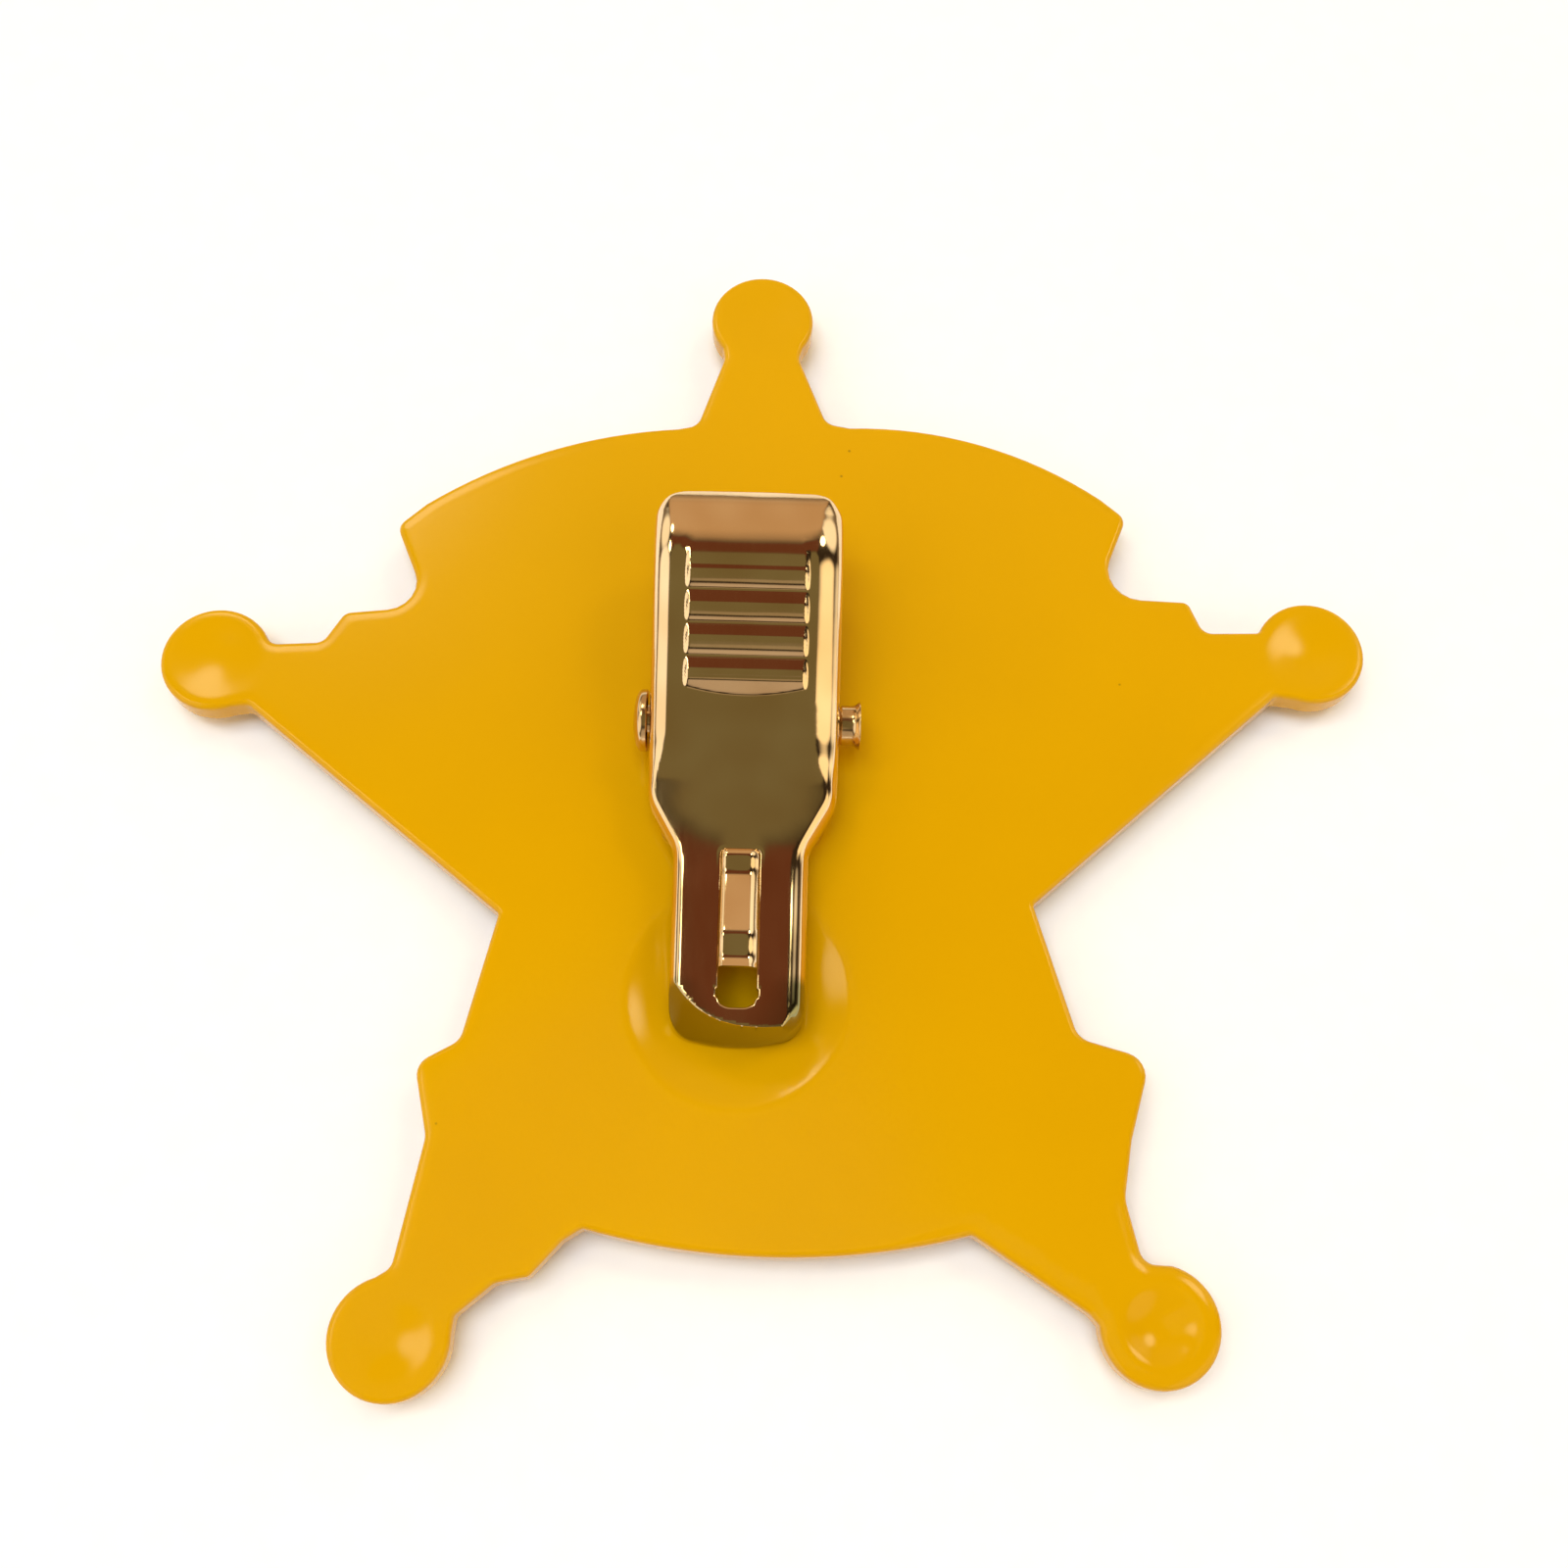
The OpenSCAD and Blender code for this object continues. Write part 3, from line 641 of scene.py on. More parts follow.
@dataclass(frozen=True)
class TablePaper:
    """Matt white paper under the badge.

    Args:
        base: Colour of the paper.
        shade: Colour of its faint mottling.
        fibre_mm: Size of the mottling.
    """

    base: str = "#f7f6f3"
    shade: str = "#f2f1ee"
    fibre_mm: float = 2.0

    def material(self) -> bpy.types.Material:
        """Builds the node tree."""
        material, tree, place = new_material("table_paper")
        size = per_metre(self.fibre_mm)
        mottle = add_node(tree, "TexNoise", {"Vector": place, "Scale": size, "Detail": 3.0})
        pulps = {"Factor": mottle, 6: linear(self.base), 7: linear(self.shade)}
        colour = add_node(tree, "Mix", pulps, 2, data_type="RGBA")
        surface = {"Base Color": colour, "Roughness": 0.9, "Specular IOR Level": 0.1}
        shader = add_node(tree, "BsdfPrincipled", surface)
        add_node(tree, "OutputMaterial", {"Surface": shader})
        return material


# The moulded star


class Half(Enum):
    """The two halves of the star's outline, as the back is seen."""

    RIGHT = 0
    LEFT = 1


# Corners between two balls on each half: [x, y, fillet radius, bow of the edge that follows].
# All are shares of the distance from the centre to a ball.
SHOULDER = {
    Half.RIGHT: (
        (0.066, 0.918, 0.029, 0), (0.114, 0.779, 0.029, 0), (0.156, 0.770, 0, 0.041),
        (0.604, 0.621, 0, 0), (0.647, 0.581, 0.023, 0), (0.581, 0.426, 0.066, 0),
        (0.743, 0.415, 0.017, 0), (0.766, 0.355, 0.023, 0), (0.864, 0.355, 0.023, 0),
    ),
    Half.LEFT: (
        (0.071, 0.918, 0.029, 0), (0.121, 0.776, 0.029, 0), (0.156, 0.769, 0, 0.033),
        (0.604, 0.616, 0, 0), (0.653, 0.572, 0.023, 0), (0.592, 0.415, 0.061, 0),
        (0.734, 0.403, 0.023, 0), (0.769, 0.347, 0.023, 0), (0.858, 0.344, 0.023, 0),
    ),
}
FLANK = {
    Half.RIGHT: (
        (0.879, 0.234, 0.014, 0), (0.434, -0.137, 0.009, 0), (0.493, -0.361, 0.035, 0),
        (0.607, -0.397, 0.038, 0), (0.566, -0.526, 0.058, 0), (0.549, -0.616, 0.058, 0),
        (0.569, -0.715, 0.026, 0),
    ),
    Half.LEFT: (
        (0.887, 0.231, 0.017, 0), (0.447, -0.143, 0.009, 0), (0.501, -0.353, 0.032, 0),
        (0.571, -0.390, 0.032, 0), (0.548, -0.506, 0.043, 0), (0.590, -0.705, 0.026, 0),
    ),
}
FOOT = {
    Half.RIGHT: ((0.480, -0.789, 0.014, 0), (0.306, -0.668, 0.012, 0)),
    Half.LEFT: (
        (0.490, -0.777, 0.014, 0), (0.431, -0.730, 0.023, 0), (0.379, -0.721, 0.014, 0),
        (0.329, -0.668, 0.017, 0), (0.299, -0.650, 0.012, 0),
    ),
}


@dataclass
class StarBody:
    """The moulded star with its ball points, plain on the back and stepped on the front.

    Args:
        ring_r: Distance from the centre to each ball's middle.
        back_z: Height of the back face.
        dish: Middle of the shallow dish under the clip's nose.
        ball_r: Radius of a ball.
        plate_t: Thickness of the plate.
        edge_r: Rounding of the moulded edges.
        worn_w: Width of the worn slope beside the lower right edges.
        worn_drop: Drop of that slope at the edge.
        worn_x: Places across between which it sets in, as shares of ring_r.
        worn_y: The same, upwards.
        dimple_r: Radius of the sink dimple behind each ball.
        dimple_d: Depth of each ball's dimple, from the top ball clockwise.
        dish_r: Radius of the dish.
        dish_d: Depth of the dish.
        dish_power: Power of its side view; a higher one has a flatter floor.
        side_ball_a: Direction of the right ball in degrees.
        foot_ball_a: Direction of the lower right ball.
        ball_arc_a: Half angle of a ball's outline, past its neck.
        lower_bow: Bow of the lower edge, as a share of ring_r.
        line_step: Longest step along the outline.
        grid_step: Grid spacing on the back.
        front_step: Grid spacing on the front.
        disc_r: Radius of the bare disc on the front.
        groove: Inner and outer radius and depth of the disc's groove.
        bevel_r: Distance to the points of the bevelled star.
        bevel_inner_r: Distance to its inner corners.
        bevel_rise: Height of its middle over the plate.
        dome_step: Width of the step round each ball's dome.
        ribbons: Each ribbon's centre height and outer radius, as shares of ring_r, with its
            half angle and direction in degrees.
        ribbon_w: Width of a ribbon.
        ribbon_h: Height of a ribbon.
        ribbon_slope: Width of a ribbon's sloping edge.
        step_w: Width of the slope at the disc's and the groove's steps.
        finish: Finish of the plastic.
    """

    ring_r: float
    back_z: float
    dish: Array
    ball_r: float = 3.25
    plate_t: float = 1.8
    edge_r: float = 0.3
    worn_w: float = 0.8
    worn_drop: float = 0.16
    worn_x: tuple[float, float] = (0.12, 0.28)
    worn_y: tuple[float, float] = (-0.5, -0.66)
    dimple_r: float = 2.0
    dimple_d: tuple[float, ...] = (0.12, 0.2, 0.45, 0.25, 0.16)
    dish_r: float = 6.3
    dish_d: float = 0.68
    dish_power: float = 3.0
    side_ball_a: float = 18.4
    foot_ball_a: float = -54.0
    ball_arc_a: float = 128.0
    lower_bow: float = 0.039
    line_step: float = 0.25
    grid_step: float = 0.6
    front_step: float = 0.42
    disc_r: float = 10.0
    groove: tuple[float, float, float] = (8.0, 8.8, 0.4)
    bevel_r: float = 30.0
    bevel_inner_r: float = 13.0
    bevel_rise: float = 1.2
    dome_step: float = 0.3
    ribbons: tuple[tuple[float, ...], ...] = ((-0.39, 1.13, 28, 90), (0.19, 0.84, 40, -90))
    ribbon_w: float = 5.0
    ribbon_h: float = 0.7
    ribbon_slope: float = 0.8
    step_w: float = 0.12
    finish: MouldedPlastic = field(default_factory=MouldedPlastic)

    def balls(self) -> Array:
        """Middles of the five balls, from the top ball clockwise."""
        side, foot = self.side_ball_a, self.foot_ball_a
        return polar(self.ring_r, np.array([90, side, foot, 180 - foot, 180 - side]))

    def ball_rows(self, angle: float, steps: int = 40) -> Array:
        """Corner rows round a ball, clockwise past its neck on both sides."""
        turn = angle + np.linspace(self.ball_arc_a, -self.ball_arc_a, steps + 1)
        middle = polar(self.ring_r, angle)
        return np.column_stack([middle + polar(self.ball_r, turn), np.zeros(steps + 1)])

    def full_rows(self, rows: Sequence[Sequence[float]]) -> Array:
        """Corner rows at full size, with each bowed edge's own points."""
        scaled = np.array(rows) * self.ring_r
        out: list[Array] = []
        for i, row in enumerate(scaled):
            out.append(row[None, :3])
            if row[3] > 0:
                points = bow(row[:2], scaled[i + 1, :2], row[3], 16)
                out.append(np.column_stack([points, np.zeros(len(points))]))
        return np.concatenate(out)

    def half_rows(self, half: Half) -> Array:
        """One half of the outline, clockwise as on the right."""
        shoulder, flank, foot = (self.full_rows(table[half]) for table in (SHOULDER, FLANK, FOOT))
        side_ball, foot_ball = self.ball_rows(self.side_ball_a), self.ball_rows(self.foot_ball_a)
        return np.concatenate([shoulder, side_ball, flank, foot_ball, foot])

    def outline(self) -> Array:
        """The whole clockwise outline."""
        right = self.half_rows(Half.RIGHT)
        left = self.half_rows(Half.LEFT)[::-1] * (-1, 1, 1)
        lower = bow(right[-1, :2], left[0, :2], self.lower_bow * self.ring_r, 24)
        lower = np.column_stack([lower, np.zeros(len(lower))])
        rows = np.concatenate([self.ball_rows(90), right, lower, left])
        return stepped(rounded(rows, 6), self.line_step)

    def wear(self, points: Array) -> Array:
        """Share of the worn slope, 1 round the lower right foot and 0 away from it."""
        x, y = points[:, 0] / self.ring_r, points[:, 1] / self.ring_r
        return ramp(x, *self.worn_x) * ramp(y, *self.worn_y)

    def back(self, d: Array, points: Array) -> Array:
        """Height of the back face.

        The plane, less the rounded edge, the worn slope, a bowl in each ball and the dish:
        a bowl of radius R and depth D is D (1 - q^2 / R^2) at a distance q from its middle,
        and the dish is D (1 - (q / R)^p), both with a soft lip.

        Args:
            d: Distance of each point from the outline.
            points: Places as [n, 2].

        Returns:
            The heights.
        """
        z = self.back_z - edge_fall(d, self.edge_r)
        z -= self.worn_drop * self.wear(points) * np.clip(1 - d / self.worn_w, 0, 1)
        for middle, depth in zip(self.balls(), self.dimple_d):
            q = np.linalg.norm(points - middle, axis=1) / self.dimple_r
            z -= soft_max(depth * (1 - q**2), 0.0, 0.12) * ramp(q, 1.6, 1.1)
        q = np.linalg.norm(points - self.dish, axis=1) / self.dish_r
        deep = soft_max(self.dish_d * (1 - q**self.dish_power), 0.0, 0.02)
        return z - deep * ramp(q, 1.3, 1.05)

    def ribbon_share(self, points: Array, ribbon: Sequence[float]) -> Array:
        """1 on a curved ribbon and 0 off it, with a slope between."""
        centre, outer, half, way = ribbon
        to = points - (0, centre * self.ring_r)
        q = np.linalg.norm(to, axis=1)
        outer *= self.ring_r
        turn = (np.degrees(np.arctan2(to[:, 1], to[:, 0])) - way + 180) % 360 - 180
        edge = np.minimum(outer - q, q - outer + self.ribbon_w)
        end = np.radians(half - np.abs(turn)) * q
        return smooth(0.5 + np.minimum(edge, end) / self.ribbon_slope)

    def front(self, d: Array, points: Array) -> Array:
        """Height of the front face, which looks down.

        The plate, less the highest of a ten-sided pyramid, two ribbons, five domes and the
        disc with its groove.

        Args:
            d: Distance of each point from the outline.
            points: Places as [n, 2].

        Returns:
            The heights.
        """
        plate_z = self.back_z - self.plate_t
        q = np.linalg.norm(points, axis=1)
        fold = np.abs((np.degrees(np.arctan2(points[:, 0], points[:, 1])) + 36) % 72 - 36)
        tip, corner = polar(self.bevel_r, 0.0), polar(self.bevel_inner_r, 36.0)
        across = np.array([corner[1] - tip[1], tip[0] - corner[0]])
        gauge = (q[:, None] * polar(1.0, fold)) @ across / (tip @ across)
        relief = np.clip(self.bevel_rise * (1 - gauge), 0, None)
        for ribbon in self.ribbons:
            relief = np.maximum(relief, self.ribbon_h * self.ribbon_share(points, ribbon))
        dome_r = self.ball_r - self.dome_step
        sphere = (dome_r**2 + plate_z**2) / (2 * plate_z)
        for middle in self.balls():
            away = np.minimum(np.linalg.norm(points - middle, axis=1), dome_r)
            relief = np.maximum(relief, np.sqrt(sphere**2 - away**2) - sphere + plate_z)
        disc = plate_z * smooth(0.5 + (self.disc_r - q) / self.step_w)
        low, high, deep = self.groove
        disc -= deep * smooth(0.5 + np.minimum(q - low, high - q) / self.step_w)
        return plate_z + edge_fall(d, self.edge_r) - np.maximum(relief, disc)

    def creases(self) -> list[Array]:
        """Lines that the front's triangles keep to: both sides of each round step."""
        radii = (self.disc_r, *self.groove[:2])
        sides = (-self.step_w / 2, self.step_w / 2)
        return [circle((0, 0), r + s, 0.5) for r in radii for s in sides]

    def build(self, studs: Sequence[Shell]) -> bpy.types.Object:
        """Meshes the star, with its studs, and dresses it.

        Args:
            studs: The melted studs' shells in the row frame.

        Returns:
            The piece.
        """
        outline = self.outline()
        edge = arc_rows(self.edge_r, (20, 38, 55, 72, 90))
        boxes = [(*(m - 3.0), *(m + 3.0)) for m in self.balls()]
        zones = [Zone(box, 0.25) for box in boxes]
        zones.append(Zone((*(self.dish - 7.2), *(self.dish + 7.2)), 0.35))
        top = Cap(outline, self.grid_step, [*edge, self.worn_w], zones=zones)
        zones = [Zone(box, 0.4) for box in boxes]
        low = Cap(outline, self.front_step, edge, creases=self.creases(), zones=zones)
        shells, rims = [], []
        for cap, height, up in ((top, self.back, True), (low, self.front, False)):
            points, triangles = cap.mesh()
            shells.append(raised(points, triangles, height(distance(points, outline), points), up))
            rims.append(height(np.zeros(len(outline)), outline))
        high, deep = rims
        wall = band(risen(outline, high + (deep - high) * np.linspace(0, 1, 5)[:, None]))
        shells += [wall, *studs]
        return make_piece("badge_star", shells, Matrix(), self.finish.material(), 40)


# The clip


# Side view of a grip rib: [place along the thumb part from its middle, rise].
RIB_SIDE = (
    (-0.58, 0.0), (-0.5, 0.015), (-0.4, 0.06), (-0.28, 0.12), (-0.14, 0.165), (0.0, 0.19),
    (0.15, 0.21), (0.3, 0.23), (0.4, 0.232), (0.52, 0.215), (0.7, 0.17), (0.9, 0.12),
    (1.1, 0.07), (1.22, 0.04), (1.3, 0.0),
)
# Side view of the tongue: [place along the nose from the slot's near end, rise over the top].
TONGUE_SIDE = (
    (-0.45, -0.3), (-0.12, -0.06), (0.05, 0.26), (0.25, 0.4), (0.5, 0.43), (0.8, 0.37),
    (1.1, 0.3), (1.4, 0.29), (1.7, 0.34), (2.6, 0.55), (3.7, 0.84), (4.6, 1.08), (4.95, 1.14),
    (5.25, 1.12), (5.6, 1.04), (5.95, 0.95), (6.25, 0.92), (6.5, 0.96), (6.8, 1.07),
)
# Where the tongue's section falls away: [side, start as a share of the half width, depth, power].
TONGUE_FALLS = ((1, 0.55, 0.3, 1.6), (-1, 0.8, 0.2, 2))
# Left side of the slot's far end: [x from the side, y from the end, corner radius].
SLOT_END = (
    (0, 1.08, 0.1), (-0.1, 1.0, 0.1), (-0.1, 0.6, 0.12), (0.02, 0.5, 0.05), (0.12, 0.22, 0.25),
)


@dataclass
class SkinCap(Cap):
    """Skin of the lever: rings follow its outline alone, rows lie by the slot and nose end.

    Args:
        slot_room: Room that the lattice leaves beside the slot.
        end_room: Room that it leaves beside the last row but one, the nose's end line.
    """

    slot_room: float = 0.3
    end_room: float = 0.13

    def ringed(self) -> list[Array]:
        """Loops that the rings follow."""
        return [self.outline]

    def clear(self, points: Array) -> Array:
        """Whether each lattice point is clear of the slot's rows and of the end line."""
        line = self.rows[-2]
        end = np.interp(points[:, 0], line[:, 0], line[:, 1], left=9.0, right=9.0)
        off_end = np.abs(points[:, 1] - end) > self.end_room
        return off_end & (distance(points, self.holes[0]) > self.slot_room + 0.4 * self.step)


@dataclass
class ClipLever:
    """The pressed lever: a tray with round shoulders, grip ribs, slot and raised tongue.

    Clip frame: x across, y towards the thumb end, z up from the badge's back face, with the
    origin under the pivot.

    Args:
        pivot_h: Height of the pivot.
        sheet_t: Sheet thickness.
        lever_w: Width over the flanges.
        nose_w: Width of the nose.
        thumb_reach: Distance from the pivot to the thumb end.
        nose_reach: Distance from the pivot to the nose's end.
        thumb_h: Height of the thumb end before its lip.
        bend_h: Height of the bend.
        bend_reach: Distance from the pivot to the bend.
        tip_h: Height of the nose's tip.
        taper_start: Distance from the pivot at which the sides begin to draw in.
        taper_end: Distance at which they have the nose's width.
        shoulder_r: Radius of the shoulders.
        thumb_corner_r: Corner radius of the thumb end, seen from above.
        nose_corner_r: Corner radius of the nose.
        flange_d: Depth of the flanges.
        neck_rim_h: Height of the flanges' rim at the taper's end.
        lip_drop: Drop of the rolled lip at the thumb end.
        lip_l: Length of the lip.
        lip_flange_d: Depth of the flange under the lip's shoulder.
        ear_r: Radius of the flanges' ears.
        rim_r: Rounding of the flanges' rim.
        rim_gap: Least height of the skin's edge over the rim.
        bend_round: Rounding of the bend.
        nose_slopes: Slope of the nose just past the bend, and near its end.
        turn_start: Distance past the bend at which the slope begins to turn.
        turn_l: Length of that turn.
        jaw: Distance from the nose's end to the middle of the star's dish under it.
        nose_draw: Inward draw of each side at the nose's end.
        nose_bow: Bow of the nose's end line.
        thumb_bow: Bow of the thumb end's line.
        end_mid: Share of the half width at which both bows have their corner.
        end_tip: Height of the end face's foot over the tip.
        end_least: Least height of the end face over the tip.
        end_run: Least run of the end face for its height, more on the left, and its fade.
        end_round: Rounding between the end face and the top.
        thumb_shoulders: Width of the left and right shoulder on the thumb part, times its radius.
        nose_shoulders: The same on the nose.
        end_shoulders: The same at the lip and at the nose's end.
        tip_fade: Distances from the nose's end between which its shoulder's width sets in.
        tip_side_fade: Distances from the nose's side between which it sets in.
        lip_fade: Distances from the thumb end between which the lip's width sets in.
        neck_tight: Share by which the shoulders are narrower between bend and taper.
        neck_start: Places along the clip between which that sets in.
        neck_end: Places between which it ends, from its far end.
        thumb_creases: Depth of the left and right shoulder's crease on the thumb part.
        nose_creases: The same on the nose.
        nose_crown: Fall of the nose's top for the square of the distance from its middle.
        crease_h: Height of the crease across the sheet just past the bend.
        crease_at: Distance of that crease past the bend, and its width.
        rib_count: Number of ribs.
        rib_pitch: Distance between them.
        rib_start: Distance from the bend to the first rib.
        rib_l: Length of a rib across the clip.
        rib_end: Width of the slope at a rib's ends.
        rib_side: Side view of a rib.
        back_from: Place from which the last rib has its long back.
        back_rise: Rise of that back at its start.
        back_l: Length of that back.
        back_power: Power of its fall.
        flank_rise: Rise of the first rib at the top of its long flank.
        smile_w: Length of that flank at the middle, where its bowed foot lies lowest.
        smile_a: Slope of that flank.
        foot_l: Length over which the foot fades.
        slot_w: Width of the slot.
        slot_start: Distance from the pivot to the slot's near end.
        slot_end: Distance to its far end.
        punch_r: Radius of the slot's drawn edge.
        tongue_gap: Gap on each side of the tongue.
        tongue_t: Thickness of the tongue.
        tongue_edge: Its least thickness, at its sides.
        tongue_crown: Fall of its section from the middle to a side.
        line_step: Longest step along the outline.
        grid_step: Grid spacing.
        finish: Finish of the metal.
    """

    pivot_h: float = 3.0
    sheet_t: float = 0.5
    lever_w: float = 10.7
    nose_w: float = 7.6
    thumb_reach: float = 12.6
    nose_reach: float = 18.1
    thumb_h: float = 10.55
    bend_h: float = 5.0
    bend_reach: float = 2.0
    tip_h: float = -0.4
    taper_start: float = 4.9
    taper_end: float = 7.6
    shoulder_r: float = 1.2
    thumb_corner_r: float = 2.2
    nose_corner_r: float = 1.6
    flange_d: float = 2.4
    neck_rim_h: float = 1.9
    lip_drop: float = 2.96
    lip_l: float = 5.2
    lip_flange_d: float = 0.3
    ear_r: float = 2.0
    rim_r: float = 0.12
    rim_gap: float = 0.15
    bend_round: float = 0.06
    nose_slopes: tuple[float, float] = (0.21, 0.03)
    turn_start: float = 2.6
    turn_l: float = 6.4
    jaw: float = 2.9
    nose_draw: float = 0.08
    nose_bow: float = 0.5
    thumb_bow: float = 0.2
    end_mid: float = 0.3
    end_tip: float = 0.3
    end_least: float = 0.2
    end_run: tuple[float, float, float] = (0.05, 0.6, 1.6)
    end_round: float = 0.05
    thumb_shoulders: tuple[float, float] = (1.25, 2.05)
    nose_shoulders: tuple[float, float] = (0.55, 0.88)
    end_shoulders: tuple[float, float] = (0.35, 0.15)
    tip_fade: tuple[float, float] = (1.8, 1.0)
    tip_side_fade: tuple[float, float] = (0.6, 1.4)
    lip_fade: tuple[float, float] = (2.2, 0.6)
    neck_tight: float = 0.4
    neck_start: tuple[float, float] = (-2.4, -5.2)
    neck_end: tuple[float, float] = (-8.8, -7.0)
    thumb_creases: tuple[float, float] = (0.07, 0.1)
    nose_creases: tuple[float, float] = (0.03, 0.0)
    nose_crown: float = 0.016
    crease_h: float = 0.035
    crease_at: tuple[float, float] = (0.75, 0.4)
    rib_count: int = 4
    rib_pitch: float = 1.86
    rib_start: float = 3.5
    rib_l: float = 6.9
    rib_end: float = 0.22
    rib_side: Array = field(default_factory=lambda: bent(RIB_SIDE, 60))
    back_from: float = 0.8
    back_rise: float = 0.145
    back_l: float = 2.0
    back_power: float = 1.3
    flank_rise: float = 0.21
    smile_w: float = 0.85
    smile_a: float = 0.42
    foot_l: float = 0.9
    slot_w: float = 2.1
    slot_start: float = 7.9
    slot_end: float = 16.7
    punch_r: float = 0.1
    tongue_gap: float = 0.04
    tongue_t: float = 0.35
    tongue_edge: float = 0.08
    tongue_crown: float = 0.03
    line_step: float = 0.2
    grid_step: float = 0.32
    # The lever's finish paints shade on the nose's end, a darker colour for the shaded star that it
    # reflects.
    finish: PlatedSteel = field(default_factory=lambda: PlatedSteel(painted_shade_y_mm=-9.8))

    def top_z(self, y: Array) -> Array:
        """Height of the middle of the top, with a soft bend between thumb part and nose.

        The thumb part is a slope less the rolled lip. The nose falls steeply at first, and
        its slope then turns to a gentle one by the smooth step, here integrated:
        u - u^3 + u^4 / 2.
        """
        run = self.thumb_reach + self.bend_reach
        thumb = self.bend_h + (y + self.bend_reach) * (self.thumb_h - self.bend_h) / run
        past = -self.bend_reach - y
        steep, level = self.nose_slopes
        u = np.clip((past - self.turn_start) / self.turn_l, 0, 1)
        turned = np.minimum(past, self.turn_start) + self.turn_l * (u - u**3 + u**4 / 2)
        nose = self.bend_h - level * past - (steep - level) * turned
        lip = np.clip((y - self.thumb_reach + self.lip_l) / self.lip_l, 0, None)
        return soft_max(thumb, nose, 2 * self.bend_round) - self.lip_drop * lip**2

    def plan(self, inset: float) -> Array:
        """Clockwise plan of the lever, moved inwards."""
        half, nose, mid = self.lever_w / 2, self.nose_w / 2, self.end_mid
        thumb_y, nose_y = self.thumb_reach, -self.nose_reach
        right = (
            (mid * half, thumb_y - mid**2 * self.thumb_bow, self.lever_w),
            (half, thumb_y - self.thumb_bow, self.thumb_corner_r),
            (half, -self.taper_start, 0.25 * self.lever_w),
            (nose, -self.taper_end, 0.25 * self.nose_w),
            (nose - self.nose_draw, nose_y + self.nose_bow, self.nose_corner_r),
            (mid * nose, nose_y + mid**2 * self.nose_bow, self.nose_w),
        )
        left = np.array(right)[::-1] * (-1, 1, 1)
        rows = np.array([(0, thumb_y, 0), *right, (0, nose_y, 0), *left])
        line = stepped(rounded(rows, 10), self.line_step)
        return line + inset * normals(line)

    def rim_z(self, y: Array) -> Array:
        """Height of the flanges' rim, with an ear round the pivot."""
        ear, lip = 1.3 * self.ear_r, self.thumb_reach - self.lip_l
        thumb_y = np.array([ear + 0.6 * self.flange_d, lip, self.thumb_reach])
        depth = (self.flange_d, self.flange_d, self.shoulder_r + self.lip_flange_d)
        low = (self.tip_h, self.neck_rim_h, 0.8 * self.pivot_h, self.pivot_h)
        at = (-self.nose_reach, -self.taper_end, -ear, ear, *thumb_y)
        rim = np.interp(y, at, (*low, *(self.top_z(thumb_y) - depth)))
        hang = self.pivot_h - self.ear_r * np.sqrt(np.clip(1 - (y / ear) ** 2, 0, 1))
        return np.where(np.abs(y) < ear, np.minimum(rim, hang), rim)

    def shoulder(self, d: Array, inset: float) -> Array:
        """Drop of the round shoulder at a distance d from the outer edge.

        Outer and inner skins share the centre of their arcs: r - root((r - inset)^2 - (r - d)^2).
        """
        away = np.clip(self.shoulder_r - d, 0, None)
        arc = np.clip((self.shoulder_r - inset) ** 2 - away**2, 0, None)
        return np.where(d < self.shoulder_r, self.shoulder_r - np.sqrt(arc), inset)

    def nose_share(self, points: Array) -> Array:
        """0 on the thumb part and 1 on the nose, with a step just below the bend."""
        return ramp(points[:, 1], 0.6 - self.bend_reach, -1.8 - self.bend_reach)

    def sided(self, points: Array, thumb: Sequence[float], nose: Sequence[float]) -> Array:
        """Value that changes softly from left to right and from thumb part to nose.

        Args:
            points: Places as [n, 2].
            thumb: Values left and right on the thumb part.
            nose: Values left and right on the nose.

        Returns:
            The value at each place.
        """
        share = self.nose_share(points)
        left, right = (t + (n - t) * share for t, n in zip(thumb, nose))
        return left + (right - left) * ramp(points[:, 0], -2.0, 2.0)

    def creased(self, drop: Array, points: Array, inset: float) -> Array:
        """Drop of the shoulder with a crease at its inner edge, where the press struck it."""
        lift = self.sided(points, self.thumb_creases, self.nose_creases)
        away = np.maximum(drop - inset, 0.0)
        return inset + soft_max(away - lift * np.clip(1.3 - away, 0, 1), 0.0, 0.012)

    def hand(self, d: Array, points: Array, inset: float) -> Array:
        """Distance from the edge, stretched so that the shoulders are tight on the left and nose.

        Args:
            d: Distance of each point from the outer edge.
            points: Places as [n, 2].
            inset: 0 for the outer skin, the sheet's thickness for the inner one.

        Returns:
            The stretched distances.
        """
        x, y = np.abs(points[:, 0]), points[:, 1]
        tip = ramp(y + self.nose_reach, *self.tip_fade)
        tip = tip * ramp(self.nose_w / 2 - x, *self.tip_side_fade)
        lip = ramp(self.thumb_reach - y, *self.lip_fade)
        neck = ramp(y, *self.neck_start) * ramp(y, *self.neck_end)
        width = self.sided(points, self.thumb_shoulders, self.nose_shoulders)
        width = width * (1 - self.neck_tight * neck)
        for end, share in zip(self.end_shoulders, (lip, tip)):
            width = width + (end - width) * share
        return inset + (d - inset) / width

